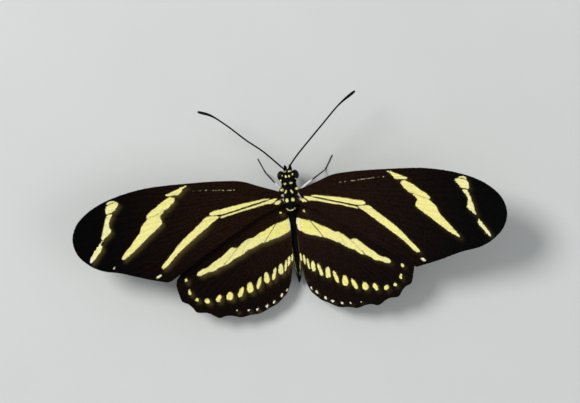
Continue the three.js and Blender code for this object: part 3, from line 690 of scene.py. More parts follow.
def hind_details(hand, places):
    """Whiteness and warmth of a hindwing, and the dim rim along its inner margin."""
    outward, forward = places.T
    reach = np.hypot(outward + 2, forward - 1)
    edge = depth_inside(places, OUTLINE["hind"])
    streak = ramp(np.abs(outward + INNER_STREAK - 0.2 * hand), 0.12, 0.28)
    by_margin = (reach > 17) * (1 - ramp(edge, 1.2, 1.6))
    whiteness = np.maximum(0.95 * (1 - streak), 0.7 * by_margin)
    whiteness = np.where((forward < -5) & (forward > -13.6), 0.15, whiteness)
    inner_rim = 0.4 * (1 - ramp(edge, 0.05, 0.3)) * (outward < 0) * ramp(-forward, 4.5, 6)
    return whiteness, 1 - 0.7 * ramp(reach, 6, 24), inner_rim


def wing_marks(side, kind, places, rough, chance):
    """Red: pale or dark. Green: tone. Blue: warmth of the dark, or whiteness of the pale.
    Alpha: the dim rim beside a mark, painted light through the wing, and on a hindwing the dim rim along its
    inner margin."""
    ragged = rough * chance.normal(0, 1, len(places))
    hand = 1 if side == "right" else -1
    real, places = places, unlike(side, kind, places)
    outward, forward = places.T
    depth = deepest(places, PALE[kind])
    if side == "right" and kind == "fore":
        depth = depth - NARROWER * (outward > LAST_BAND_FROM) * ramp(-forward, 0.8, 2)
    pale = ramp(depth + ragged, *PALE_EDGE)
    for line, half_width, darkness in DARK_LINES[kind]:
        off = ramp(distance_to(places, np.array(line)), half_width * 0.6, half_width * 1.4)
        pale *= 1 - darkness * (1 - off)
    # painted light: the far face's marks, shifted, show through the wing as a dim rim
    toward = GLOW_SHIFT * np.array((hand, GLOW_LEAN))
    rim = ramp(deepest(places - toward, BROAD[kind]), *GLOW_DEPTHS) ** 2 * GLOW_STRENGTH[side]
    if kind == "fore":
        whiteness, warmth, greyish, shown = fore_details(side, real, places, ragged, chance)
        pale, rim = np.maximum(pale, greyish), rim * shown
    else:
        whiteness, warmth, inner_rim = hind_details(hand, places)
        rim = np.maximum(rim, inner_rim)
    bearing = np.degrees(np.arctan2(forward - STREAKS_FROM[1], outward - STREAKS_FROM[0]))
    fine = np.sin(bearing * 7.3 + 2 * np.sin(bearing * 1.7))
    streaks = 0.5 + 0.25 * np.sin(bearing * 2.9 + 1.3) + 0.25 * fine
    grain = 0.22 * chance.normal(0, 1, len(places)) * (rough > 0)
    tone = np.clip(0.25 + 0.5 * streaks + grain, 0, 1)
    return np.column_stack([pale, tone, np.clip(np.where(pale > 0.2, whiteness, warmth), 0, 1), rim])


# %% [markdown]
# ## Colour of the scales
# A dark scale holds pigment and a pale one a clear yellow, and light that passes through them
# is soft, never glossy. An image could carry the pattern, but it would stay as coarse as its
# dots. Here each point of a mesh carries its own marks, and one material turns them into colour.

# %% Wing finish
# rim is the dim olive of the painted light through the wing beside the marks
WING_COLOURS = {
    "dark": srgb(3, 2, 2), "warm": srgb(31, 16, 8), "pale": srgb(250, 240, 142),
    "white": srgb(240, 240, 226), "rim": srgb(92, 80, 44),
}


def marked_colour(shade, dark, warm, pale, white, rim):
    """Colours from the marks that a mesh carries on its points. Their alpha mixes in the rim colour, painted
    light through the wing.
    """
    marks = shade.node("ShaderNodeAttribute", {"attribute_name": "marks"})
    parts = marks.node("ShaderNodeSeparateColor", None, {0: marks})
    red, green, blue = (Shade(shade.tree, parts.socket.node.outputs[k]) for k in range(3))
    alpha = Shade(shade.tree, marks.socket.node.outputs["Alpha"])
    ground = alpha.between(blue.between(dark, warm).dimmed(green * 1.7 + 0.1), rim)
    light = blue.between(pale, white).dimmed(green * 0.3 + 0.8)
    return red.between(ground, light), red


wing_scales, shade, shader = new_material("wing scales", roughness=0.62, specular=0.03)
colour, pale_share = marked_colour(shade, **WING_COLOURS)
feed(colour, shader, "Base Color")
feed(pale_share * 0.12 + 0.6, shader, "Roughness")
bump(shade, shader, noise(shade, 9000.0, detail=2.0), strength=0.25, distance=0.00002)
print(wing_scales.name, len(wing_scales.node_tree.nodes), "nodes")

# %% [markdown]
# ## Wing skin
# A real wing is two thin skins over a fan of stiff tubes, the veins. It could be an extruded
# plane, but then no vein would stand out, so the outline, the veins and a spread of points
# between them are joined by constrained triangles. The points over a vein are raised.

# %% Heights of a wing's faces
SKIN_HALF = 0.06  # half the thickness between the veins, mm
VEIN_RISE = 0.1
VEIN_HALF_WIDTH = 0.2
PLEAT = 0.05  # height of the folds that fan out from the root
PLEAT_WAVES = 0.75


def skin_height(kind, places):
    """Half the thickness of a wing at flat places: the skin, and the veins that stand out."""
    nearest = np.min([distance_to(places, vein) for vein in VEINS[kind]], axis=0)
    edge = ramp(depth_inside(places, OUTLINE[kind]), 0.0, 0.5)
    return SKIN_HALF + VEIN_RISE * (1 - ramp(nearest, 0, VEIN_HALF_WIDTH)) * (0.3 + 0.7 * edge)


def pleats(kind, places):
    """Shallow folds that fan out from the root and stiffen the wing."""
    bearing = np.degrees(np.arctan2(places[:, 1] - STREAKS_FROM[1], places[:, 0] - STREAKS_FROM[0]))
    return PLEAT * np.sin(bearing * PLEAT_WAVES) * ramp(np.hypot(places[:, 0], places[:, 1]), 2, 12)


for kind, lines in VEINS.items():
    tallest = skin_height(kind, lines[0]).max()
    print(kind, "wing is", round(2 * float(tallest), 2), "mm thick at its tallest vein")

# %% The points that a wing's triangles join
FILL_STEP = 0.55  # spacing of the points between the veins
ROW_SHARE = 0.87  # spacing of their rows, as a share of it
VEIN_TO_MARGIN = 0.12  # how close to the margin a vein's points may come
TOO_CLOSE = 0.09


def flat_points(kind):
    """The points of a flat wing, those of its outline first, and how many those are."""
    outline = OUTLINE[kind]
    kept = [outline]
    for vein in VEINS[kind]:
        along = np.gradient(vein, axis=0)
        across = np.column_stack([-along[:, 1], along[:, 0]]) / np.linalg.norm(along, axis=1)[:, None]
        rows = np.vstack([vein, vein + across * VEIN_HALF_WIDTH, vein - across * VEIN_HALF_WIDTH])
        kept.append(rows[depth_inside(rows, outline) > VEIN_TO_MARGIN])
    low, high = outline.min(0), outline.max(0)
    columns, rows = np.arange(low[0], high[0], FILL_STEP), np.arange(low[1], high[1], FILL_STEP * ROW_SHARE)
    s, t = np.meshgrid(columns, rows)
    s[1::2] += FILL_STEP / 2
    fill = np.column_stack([s.ravel(), t.ravel()])
    fill = fill[depth_inside(fill, outline) > FILL_STEP * 0.45]
    for vein in VEINS[kind]:
        fill = fill[distance_to(fill, vein) > VEIN_HALF_WIDTH * 1.7]
    points = np.vstack([*kept, fill])
    first = np.unique(np.round(points / TOO_CLOSE).astype(int), axis=0, return_index=True)[1]
    order = np.sort(np.union1d(first, np.arange(len(outline))))
    return points[order], len(outline)


# %% Thin wings with raised veins
FORE_UNROLL = ((1.5, 16.2), 45, (0, 1))  # shift, size of the square in mm, where the far face goes
HIND_UNROLL = ((2.0, 21.5), 50, (1, 0))
SEED_OF_SKIN = 5


def wing_uv(kind, places, far_face):
    """Both faces of a wing side by side on one square, at one scale."""
    shift, square, aside = FORE_UNROLL if kind == "fore" else HIND_UNROLL
    return (places + shift) / square + np.where(far_face, 0.5, 0.0)[:, None] * aside


def flat_triangles(kind):
    """The flat wing's points and the triangles between them, all turned the same way."""
    points, rim_count = flat_points(kind)
    rim = [(k, (k + 1) % rim_count) for k in range(rim_count)]
    found = geometry.delaunay_2d_cdt([Vector(p) for p in points], rim, [], 1, 1e-5)
    flat = np.array([tuple(p) for p in found[0]])
    triangles = np.array([list(face) for face in found[2]])
    corner = flat[triangles]
    turn = np.cross(corner[:, 1] - corner[:, 0], corner[:, 2] - corner[:, 0])
    triangles[turn < 0] = triangles[turn < 0][:, ::-1]
    depth = depth_inside(corner.mean(1), OUTLINE[kind])
    return flat, triangles[(depth > 0) & (np.abs(turn) > 1e-9)]


def closed_faces(triangles, count):
    """The upper triangles, the same for the lower face, and the wall round the margin."""
    edges = np.vstack([triangles[:, [0, 1]], triangles[:, [1, 2]], triangles[:, [2, 0]]])
    known = {tuple(edge) for edge in edges}
    border = np.array([edge for edge in edges if (edge[1], edge[0]) not in known])
    start, end = border.T
    walls = np.vstack([np.column_stack([end, start, start + count]),
                       np.column_stack([end, start + count, end + count])])
    return np.vstack([triangles, triangles[:, ::-1] + count, walls])


def wing_skin(side, kind):
    flat, triangles = flat_triangles(kind)
    faces = closed_faces(triangles, len(flat))
    if side == "left":
        faces = faces[:, ::-1]
    height, fold = skin_height(kind, flat), pleats(kind, flat)
    points = np.vstack([on_wing(side, kind, flat, level) for level in (fold + height, fold - height)])
    marks = wing_marks(side, kind, flat, 0.0, np.random.default_rng(SEED_OF_SKIN))
    uv = wing_uv(kind, np.vstack([flat, flat]), np.repeat([False, True], len(flat)))
    piece = mesh_from(f"{kind}wing skin {side}", points, faces, np.vstack([marks, marks]), uv)
    smooth(piece)
    hand_over(piece, f"{kind}wing_skin_{side}", wing_scales, [f"{kind}wing_{side}"])


for side in ("left", "right"):
    for kind in ("fore", "hind"):
        wing_skin(side, kind)

# %% [markdown]
# ## Wing scales
# Tens of thousands of scales cover a wing like tiles, each rooted at its inner end and lying
# over the next. One scale is a thin plate of four faces with a narrow root, broad shoulders and
# a blunt tip. It could be an instanced object, but joined meshes keep every scale's own mark.

# %% One scale plate, and many laid on one face of a wing
SCALE_LIFT = 0.045
SCALE_CLEAR = 0.012  # of the skin, at its root
ROLL = 0.12  # how unevenly the plates lie
RAGGED = 0.02  # mm by which each scale may misjudge the edge of a mark
PATCH = 0.003  # side of a scale's own patch on the texture square
PLATE = np.array([  # share of the length, of the width, and of the lift
    (0.0, 0.0, 0.0), (0.45, -0.5, 0.5), (0.45, 0.5, 0.5), (0.94, -0.36, 0.95), (1.06, 0.0, 1.15),
    (0.94, 0.36, 0.95),
])
PLATE_FACES = np.array([(0, 1, 2), (1, 3, 4), (1, 4, 2), (2, 4, 5)])
MIDDLE = 0.45  # along a plate, where its mark is looked up


def copies_of(faces, corners, count):
    """The faces of many like plates or blades, numbered on."""
    return (faces[None] + corners * np.arange(count)[:, None, None]).reshape(-1, 3)


def plates(side, kind, roots, bearing, length, width, far_face, chance):
    """Points, faces, marks and texture places of scales on one face of a wing."""
    count = len(roots)
    ahead = np.column_stack([np.cos(bearing), np.sin(bearing)])
    aside = np.column_stack([-ahead[:, 1], ahead[:, 0]])
    sizes = np.column_stack([length, width, SCALE_LIFT * chance.uniform(0.6, 1.3, count)])
    shape = PLATE[None] * sizes[:, None, :]
    flat = roots[:, None] + ahead[:, None] * shape[..., :1] + aside[:, None] * shape[..., 1:2]
    roll = chance.normal(0, ROLL, count)[:, None] * shape[..., 1]
    rise = skin_height(kind, roots)[:, None] + SCALE_CLEAR + shape[..., 2] + roll
    height = pleats(kind, roots)[:, None] + (-rise if far_face else rise)
    points = on_wing(side, kind, flat.reshape(-1, 2), height.ravel())
    corners = len(PLATE)
    faces = copies_of(PLATE_FACES, corners, count)
    if (side == "left") != far_face:
        faces = faces[:, ::-1]
    middles = roots + ahead * length[:, None] * MIDDLE
    marks = np.repeat(wing_marks(side, kind, middles, RAGGED, chance), corners, axis=0)
    places = np.repeat(wing_uv(kind, roots, np.full(count, far_face)), corners, axis=0)
    patch = np.tile(np.column_stack([PLATE[:, 1], PLATE[:, 0]]) * PATCH, (count, 1))
    return points, faces, marks, places + patch


print("a scale has", len(PLATE_FACES), "faces")

# %% Staggered rows of scales over both faces, and the fringe
SCALE_ALONG = 0.165  # row spacing, mm
SCALE_ACROSS = 0.14
SCALE_LENGTH = 0.3
SCALE_WIDTH = 0.18
UNEVEN = (0.85, 1.15)  # shares between which lengths and widths vary
FAR_FACE_SPREAD = 1.25  # its scales are larger and fewer
SCATTER = 0.3  # of a scale's place, as a share of the spacing
FRINGE_LENGTH = (0.28, 0.42)
FRINGE_WIDTH = 0.13
LIE_FROM = {"fore": (-7.0, 3.5), "hind": (-3.0, 3.0)}  # where the rows fan out from
FIRST_SEED = 11


def margin_fringe(kind, far_face, chance):
    """Roots and bearings of the longer scales that stand out round the outer margin."""
    line = OUTER_MARGIN[kind]
    along = np.gradient(line, axis=0)
    bearing = np.arctan2(along[:, 0], -along[:, 1]) + math.pi
    inside = line - np.column_stack([np.cos(bearing), np.sin(bearing)]) * 0.12
    return inside, bearing + chance.normal(0, 0.08, len(line))


def staggered(kind, step, gap, chance):
    """Scattered places over a wing, every second row moved by half a gap."""
    low, high = OUTLINE[kind].min(0), OUTLINE[kind].max(0)
    rows, columns = np.arange(low[0], high[0], step), np.arange(low[1], high[1], gap)
    s, t = np.meshgrid(rows, columns, indexing="ij")
    t[1::2] += gap / 2
    scatter = chance.uniform(-SCATTER, SCATTER, (s.size, 2)) * (step, gap)
    roots = np.column_stack([s.ravel(), t.ravel()]) + scatter
    return roots[depth_inside(roots, OUTLINE[kind]) > 0.05]


def scale_coat(side, kind, seed):
    chance = np.random.default_rng(seed)
    made = []
    for far_face in (False, True):
        spread = FAR_FACE_SPREAD if far_face else 1.0
        roots = staggered(kind, SCALE_ALONG * spread, SCALE_ACROSS * spread, chance)
        away = roots - np.array(LIE_FROM[kind])
        bearing = np.arctan2(away[:, 1], away[:, 0]) + chance.normal(0, 0.1, len(roots))
        length = SCALE_LENGTH * spread * chance.uniform(*UNEVEN, len(roots))
        length = np.minimum(length, 0.16 + depth_inside(roots, OUTLINE[kind]))
        width = SCALE_WIDTH * spread * chance.uniform(*UNEVEN, len(roots))
        made.append(plates(side, kind, roots, bearing, length, width, far_face, chance))
        roots, bearing = margin_fringe(kind, far_face, chance)
        length, width = chance.uniform(*FRINGE_LENGTH, len(roots)), np.full(len(roots), FRINGE_WIDTH)
        made.append(plates(side, kind, roots, bearing, length, width, far_face, chance))
    points, faces, marks, places = zip(*made)
    starts = np.cumsum([0] + [len(part) for part in points])
    faces = [part + start for part, start in zip(faces, starts)]
    piece = mesh_from(f"{kind} coat", *(np.vstack(parts) for parts in (points, faces, marks, places)))
    hand_over(piece, f"{kind}wing_scales_{side}", wing_scales)


for seed, (side, kind) in enumerate([(s, k) for s in ("left", "right") for k in ("fore", "hind")]):
    scale_coat(side, kind, FIRST_SEED + seed)

# %% [markdown]
# ## Body skin
# Head, thorax and abdomen are one skin without seams. A circle is drawn at the front of the
# head and extruded from ring to ring, each ring scaled to the body's width and height there.
# The shoulder lobes over the wing roots and the collar are balls, and a voxel remesh melts all
# of it together as flesh is. The skin lies inside the solids by the depth of the coat.

# %% Sections and lobes of the body
COAT_DEPTH = 0.17
THINNEST = 0.08  # half width or height of a ring
BODY_SECTIONS = [  # distance forward, half width, top, bottom
    (5.72, 0.5, 0.15, -0.45), (5.5, 0.95, 0.62, -0.85), (4.9, 1.15, 1.0, -1.1), (4.1, 1.35, 1.15, -1.15),
    (3.5, 1.55, 1.1, -1.1), (3.0, 1.38, 1.0, -0.98), (2.6, 1.5, 1.15, -1.2), (2.0, 1.75, 1.38, -1.7),
    (1.0, 1.98, 1.55, -2.05), (-0.2, 2.05, 1.6, -2.15), (-1.4, 1.92, 1.45, -2.0),
    (-2.4, 1.55, 1.05, -1.8), (-3.1, 1.15, 0.3, -1.7), (-3.55, 0.9, -0.35, -1.7),
    (-4.4, 0.92, -0.6, -2.0), (-6.2, 1.02, -0.7, -2.4), (-9.0, 1.06, -0.75, -2.65),
    (-12.0, 1.0, -0.8, -2.65), (-14.4, 0.84, -0.95, -2.5), (-16.2, 0.55, -1.2, -2.25),
    (-17.13, 0.22, -1.5, -1.9),
]
LOBES = [  # centre and radii, each on both sides
    ((1.5, 1.35, 0.85), (0.4, 0.82, 0.42)),  # shoulder lobes
    ((0.64, 2.55, 0.86), (0.56, 0.32, 0.3)),  # collar
    ((0.8, 4.55, 0.5), (0.5, 0.8, 0.52)),  # crown, up to the eyes
    ((1.2, 3.62, 0.2), (0.55, 0.42, 0.6)),  # cheeks behind the eyes
    ((0.95, 3.05, -0.1), (0.4, 0.55, 0.62)),  # sides of the neck
    ((0.25, -2.15, 0.74), (0.85, 0.72, 0.48)),  # hind lobe of the thorax
]
RINGS_OF_ABDOMEN = [-4.9, -6.6, -8.4, -10.2, -12.0, -13.6, -15.0]


def middle_height(forward):
    """Height of the body's own axis at some distances forward."""
    sections = BODY_SECTIONS[::-1]
    return np.interp(forward, [s[0] for s in sections], [(s[2] + s[3]) / 2 for s in sections])


length = BODY_SECTIONS[0][0] - BODY_SECTIONS[-1][0]
print("body", round(length, 1), "mm long, with", 2 * len(LOBES), "lobes")

# %% Body from rings
RING_CORNERS = 40
VOXEL = 0.085


def ring_of(section):
    """Middle, half width and half height of the skin at a section."""
    forward, half, top, bottom = section
    grown = (max(half - COAT_DEPTH, THINNEST), max((top - bottom) / 2 - COAT_DEPTH, THINNEST))
    return Vector((0, forward, (top + bottom) / 2)), *grown


def tube_of_rings():
    middle, width, height = ring_of(BODY_SECTIONS[0])
    deselect()
    bpy.ops.mesh.primitive_circle_add(
        vertices=RING_CORNERS, radius=1, fill_type="NGON", location=middle, rotation=(math.radians(90), 0, 0))
    skin = bpy.context.object
    bpy.ops.object.mode_set(mode="EDIT")
    bpy.ops.transform.resize(value=(width, 1, height), center_override=middle)
    for section in BODY_SECTIONS[1:]:
        next_middle, wide, high = ring_of(section)
        bpy.ops.mesh.extrude_region_move(TRANSFORM_OT_translate={"value": next_middle - middle})
        bpy.ops.transform.resize(value=(wide / width, 1, high / height), center_override=next_middle)
        middle, width, height = next_middle, wide, high
    bpy.ops.mesh.select_all(action="SELECT")
    bpy.ops.mesh.normals_make_consistent(inside=False)
    bpy.ops.object.mode_set(mode="OBJECT")
    modify(skin, "SUBSURF", levels=2, render_levels=2)
    return skin


def lobe(place, radii):
    deselect()
    bpy.ops.mesh.primitive_uv_sphere_add(segments=32, ring_count=20, location=place, scale=radii)
    return bpy.context.object


pieces = [tube_of_rings()]
for (x, y, z), radii in LOBES:
    pieces += [lobe((across, y, z), radii) for across in (x, -x)]
body = join(pieces)
bpy.ops.object.transform_apply(location=True, rotation=True, scale=True)
modify(body, "REMESH", mode="VOXEL", voxel_size=VOXEL)
modify(body, "SMOOTH", factor=0.5, iterations=4)
print("body skin", len(body.data.polygons), "faces")

# %% Grooves between the rings of the abdomen
GROOVE_WIDTH = 0.16
GROOVE_DEPTH = 0.07  # as a share of the abdomen's own radius
places = places_of(body)
from_rings = (places[:, 1:2] - np.array(RINGS_OF_ABDOMEN, np.float32)) / GROOVE_WIDTH
groove = np.exp(-(from_rings**2)).max(1).astype(float)
axis = np.column_stack([np.zeros(len(places)), places[:, 1], middle_height(places[:, 1])])
places = places - (places - axis) * (GROOVE_DEPTH * groove)[:, None]
move_points(body, places)
deepest_groove = GROOVE_DEPTH * float(groove.max())
print(len(RINGS_OF_ABDOMEN), "grooves, deepest", round(deepest_groove, 3), "of the radius")

# %% [markdown]
# ## Spots of the body
# The black head and thorax carry small pale spots of cream scales in pairs, and a pale bow over
# the scutellum. Each is an oval seen from above, and only skin that faces up may carry one.

# %% Where the body is pale
BODY_SPOTS = [  # right, forward, length, width, lean
    (-0.55, 5.3, 0.4, 0.6, 0), (0.47, 5.29, 0.42, 0.72, 4), (-1.15, 4.5, 0.42, 0.32, 0),
    (1.05, 4.57, 0.44, 0.32, 15), (-0.37, 4.26, 0.5, 0.36, 25), (0.3, 4.27, 0.46, 0.36, -20),
    (-1.56, 3.68, 0.8, 0.36, 14), (1.6, 3.78, 0.95, 0.32, 30), (-0.64, 2.8, 0.44, 0.44, 0),
    (0.55, 2.87, 0.4, 0.6, 0), (-1.4, 1.65, 0.46, 0.56, -12), (1.72, 1.67, 0.5, 0.7, 10),
    (-0.59, 1.2, 0.74, 0.3, -22), (0.57, 1.16, 0.82, 0.34, 27), (-0.55, -0.5, 0.72, 0.64, 8),
    (0.64, -0.42, 0.72, 0.66, -4),
]
SIDE_SPOTS = [  # on the flank, as distance forward, height, length, height of the spot
    (2.0, -0.3, 0.7, 0.5), (0.7, -0.7, 0.9, 0.5), (-0.9, -0.6, 0.9, 0.5), (-2.1, -0.7, 0.6, 0.5),
    (3.9, -0.7, 0.5, 0.4),
]
BOW = [(-0.76, -2.16), (-0.56, -2.37), (-0.28, -2.5), (0.03, -2.55), (0.38, -2.48), (0.67, -2.34),
       (0.88, -2.17)]
BOW_HALF_WIDTH = 0.075
FRONT_OF_HEAD = 4.95  # ahead of it only steeper skin carries a spot
SOFT_EDGE = 0.03
BODY_WHITENESS = 0.12
LINES_PALE = 0.75  # how pale the lines under and along the abdomen are


def abdomen_lines(points, normals):
    """The pale line under the abdomen and the thin one along each flank."""
    right, forward, up = points.T
    under = ramp(-up, 2.0, 2.45) * (forward < -4.5) * (np.abs(right) < 0.45)
    flank = (np.abs(up + 1.55 + 0.02 * forward) < 0.12) * (forward < -4.2)
    return LINES_PALE * np.maximum(under, flank * (np.abs(normals[:, 0]) > 0.5))


def body_marks(points, normals, rough, chance):
    """Marks as on the wings: pale share, tone, whiteness and a dim share."""
    ragged = rough * chance.normal(0, 1, len(points))
    from_above = normals[:, 2] > np.where(points[:, 1] > FRONT_OF_HEAD, 0.35, -0.1)
    flat = points[:, :2].astype(float)
    bow = BOW_HALF_WIDTH - distance_to(flat, spline(BOW, 0.1))
    bow = np.where(normals[:, 2] > 0, bow, FAR_OUTSIDE)
    spots = deepest(flat, [oval(*spot) for spot in BODY_SPOTS])
    depth = np.where(from_above, np.maximum(spots, bow), FAR_OUTSIDE)
    for forward, up, length, height in SIDE_SPOTS:
        size = np.hypot((points[:, 1] - forward) / length * 2, (points[:, 2] - up) / height * 2)
        on_flank = np.abs(normals[:, 0]) > 0.6
        depth = np.maximum(depth, np.where(on_flank, (1 - size) * 0.25, FAR_OUTSIDE))
    pale = np.maximum(ramp(depth + ragged, -SOFT_EDGE, SOFT_EDGE), abdomen_lines(points, normals))
    tone = np.clip(0.5 + 0.25 * chance.normal(0, 1, len(points)) * (rough > 0), 0, 1)
    return np.column_stack([pale, tone, np.full(len(points), BODY_WHITENESS), np.zeros(len(points))])


print("spots above", len(BODY_SPOTS), "and on each flank", len(SIDE_SPOTS))

# %% Finish of the body
# rim, painted light through a wing, shows nowhere on the body, whose marks carry no rim
BODY_COLOURS = {
    "dark": srgb(4, 3, 4), "warm": srgb(24, 18, 14), "pale": srgb(252, 244, 146),
    "white": srgb(226, 228, 222), "rim": srgb(60, 55, 45),
}
body_coat, shade, shader = new_material("body coat", roughness=0.68, specular=0.07)
feed(marked_colour(shade, **BODY_COLOURS)[0], shader, "Base Color")
bump(shade, shader, noise(shade, 12000.0), strength=0.4, distance=FINE_DENTS)
print(body_coat.name, len(body_coat.node_tree.nodes), "nodes")

# %% [markdown]
# ## Tufts
# The coat of the body is hair-like scales that lie back towards the tail. Particle hair would be
# lost in the exported model, so each tuft is a real blade of three faces: rooted in the skin,
# bent along its lie and pointed. They are set by area, longest on the sides of the thorax.

# %% Places for tufts on a skin
BLADE = np.array([  # share of the length, of the width, and of the lift
    (0.0, -0.5, -0.3), (0.0, 0.5, -0.3), (0.5, -0.42, 0.75), (0.5, 0.42, 0.75), (1.0, 0.0, 1.0),
])
BLADE_FACES = np.array([(0, 2, 1), (2, 3, 1), (2, 4, 3)])


def triangles_of(piece):
    piece.data.calc_loop_triangles()
    corners = np.empty(len(piece.data.loop_triangles) * 3, np.int32)
    piece.data.loop_triangles.foreach_get("vertices", corners)
    return places_of(piece)[corners.reshape(-1, 3)].astype(float)


def spread_roots(corners, per_mm2, chance):
    """Random places on triangles, as many to the square millimetre everywhere, and normals."""
    cross = np.cross(corners[:, 1] - corners[:, 0], corners[:, 2] - corners[:, 0])
    area = np.linalg.norm(cross, axis=1) / 2
    count = int(area.sum() * per_mm2)
    chosen = chance.choice(len(area), count, p=area / area.sum())
    a, b = chance.random((2, count))
    turn = a + b > 1
    a, b = np.where(turn, 1 - a, a), np.where(turn, 1 - b, b)
    base = corners[chosen]
    roots = base[:, 0] + a[:, None] * (base[:, 1] - base[:, 0]) + b[:, None] * (base[:, 2] - base[:, 0])
    return roots, cross[chosen] / (2 * area[chosen])[:, None]


print("a tuft has", len(BLADE_FACES), "faces")


# %% Blades of hair over a skin
def blades(roots, normals, lies, length, width, lift):
    """Points and faces of tufts."""
    lies = lies - normals * (lies * normals).sum(1)[:, None]
    lies = lies / np.maximum(np.linalg.norm(lies, axis=1), 1e-6)[:, None]
    aside = np.cross(normals, lies)
    sizes = np.column_stack([length, width, lift])
    shape = BLADE[None] * sizes[:, None, :]
    points = (roots[:, None] + lies[:, None] * shape[..., :1] + aside[:, None] * shape[..., 1:2]
              + normals[:, None] * shape[..., 2:])
    return points.reshape(-1, 3), copies_of(BLADE_FACES, len(BLADE), len(roots))


def body_uv(points):
    """The body unrolled: round it across, along it upwards."""
    up = points[:, 2] - middle_height(points[:, 1])
    around = np.arctan2(points[:, 0], up) / (2 * math.pi) + 0.5
    return np.column_stack([0.01 + 0.97 * around, 0.01 + 0.97 * (points[:, 1] + 17.4) / 23.6])


def coat_over(name, roots, normals, lies, sizes, uv, marks):
    """Tufts over a skin of flesh; sizes are the length, width and lift of each."""
    points, faces = blades(roots, normals, lies, *sizes)
    corners = len(BLADE)
    patch = np.tile(np.column_stack([BLADE[:, 1], BLADE[:, 0]]) * PATCH, (len(roots), 1))
    marks, uv = np.repeat(marks, corners, axis=0), np.repeat(uv, corners, axis=0) + patch
    hand_over(mesh_from(name, points, faces, marks, uv), name, body_coat)


# %% Coat of the body
DOME_CENTRE = (1.4, 4.45, -0.05)  # of the right eye
DOME_RADII = (0.8, 1.02, 1.0)
EYE_CLEARANCE = 1.03
TUFTS_PER_MM2 = 130
BACKWARD = (0.0, -1.0, 0.0)
NECK_TUFTS = 3.05  # distance forward of the longest tufts
chance = np.random.default_rng(71)
roots, normals = spread_roots(triangles_of(body), TUFTS_PER_MM2, chance)
in_eye = np.zeros(len(roots), bool)
for mirror in (1, -1):
    centre = np.array(DOME_CENTRE) * (mirror, 1, 1)
    in_eye |= np.linalg.norm((roots - centre) / (np.array(DOME_RADII) * EYE_CLEARANCE), axis=1) < 1
roots, normals = roots[~in_eye], normals[~in_eye]
lies = np.tile(BACKWARD, (len(roots), 1)) + chance.normal(0, 0.22, (len(roots), 3))
head_end, waist = roots[:, 1] > 3.0, roots[:, 1] < -3.6
shaggy = np.clip(np.abs(normals[:, 0]) * 1.2, 0, 1) * ~waist
neck = shaggy * np.exp(-(((roots[:, 1] - NECK_TUFTS) / 0.3) ** 2))
length = np.where(head_end, 0.18, np.where(waist, 0.26, 0.2 + 0.32 * shaggy)) + 0.2 * neck
lift = np.where(waist, 0.05, np.where(head_end, 0.06, 0.07 + 0.06 * shaggy)) + 0.28 * neck
length = length * chance.uniform(0.75, 1.25, len(roots))
lift = lift * chance.uniform(0.5, 1.3, len(roots))
width = np.where(waist, 0.13, 0.08) * chance.uniform(0.8, 1.2, len(roots))
marks = body_marks(roots - np.outer(length * 0.5, (0, 1, 0)), normals, 0.015, chance)
coat_over("body_coat", roots, normals, lies, (length, width, lift), body_uv(roots), marks)

points = places_of(body)
normals = np.empty(len(points) * 3, np.float32)
body.data.vertices.foreach_get("normal", normals)
paint(body.data, body_marks(points, normals.reshape(-1, 3), 0.0, chance))
smooth(body)
hand_over(body, "body_skin", body_coat, ["head", "thorax", "abdomen"])

# %% [markdown]
# ## Eyes
# A butterfly's eye is a smooth dome of thousands of tiny lenses. The dome is a sphere scaled to
# the photograph's size. The lenses are far finer than a picture dot, so they are a cell pattern
# in the material that dents the gloss.

# %% Eyes
LENSES = 14000.0  # cells to the metre
eye_finish, shade, shader = new_material("eye lenses", roughness=0.3, specular=0.08)
sockets = {"Vector": object_place(shade), "Scale": LENSES}
cells = shade.node("ShaderNodeTexVoronoi", {"feature": "F1"}, sockets)
feed(noise(shade, 900.0).between(srgb(2, 1, 1), srgb(10, 4, 4)), shader, "Base Color")
bump(shade, shader, 1 - cells, strength=0.5, distance=FINE_DENTS)
shader.inputs["Coat Weight"].default_value = 0.03
for side, mirror in (("left", -1), ("right", 1)):
    deselect()
    bpy.ops.mesh.primitive_uv_sphere_add(
        segments=56, ring_count=36, location=(DOME_CENTRE[0] * mirror, *DOME_CENTRE[1:]),
        rotation=(0, math.radians(90), 0))
    eye = bpy.context.object
    bpy.ops.object.transform_apply(location=False, rotation=True, scale=False)
    eye.scale = DOME_RADII
    bpy.ops.object.transform_apply(location=False, rotation=False, scale=True)
    bpy.ops.object.shade_smooth()
    hand_over(eye, f"eye_dome_{side}", eye_finish, [f"eye_{side}"])

# %% [markdown]
# ## Jointed pieces
# Legs, palps and feelers are strings of short hollow joints. One joint is modelled once: a
# cylinder whose ends are drawn in and rounded. Each joint of each limb is a copy of it with its
# own mesh, stretched between two points and tapered.


# %% One joint
JOINT_SIDES = 12
INSET = 0.3  # of each of the two rings drawn into a joint's ends


def joint_form():
    deselect()
    bpy.ops.mesh.primitive_cylinder_add(
        vertices=JOINT_SIDES, radius=1, depth=1, location=(0, 0, 0.5), end_fill_type="NGON")
    form = bpy.context.object
    bpy.ops.object.transform_apply(location=True, rotation=False, scale=False)
    bpy.ops.object.mode_set(mode="EDIT")
    bpy.ops.mesh.select_all(action="DESELECT")
    bpy.ops.object.mode_set(mode="OBJECT")
    for polygon in form.data.polygons:
        polygon.select = abs(polygon.normal.z) > 0.9
    bpy.ops.object.mode_set(mode="EDIT")
    bpy.ops.mesh.select_mode(type="FACE")
    for _ in range(2):
        bpy.ops.mesh.inset(thickness=INSET, depth=0.0, use_individual=True)
    bpy.ops.object.mode_set(mode="OBJECT")
    return form


FORM = joint_form()
print("one joint", len(FORM.data.polygons), "faces")

# %% A joint stretched between two points, and a string of them
CAP_ROUNDING = 0.8  # how far the ends bulge, as a share of the radius there


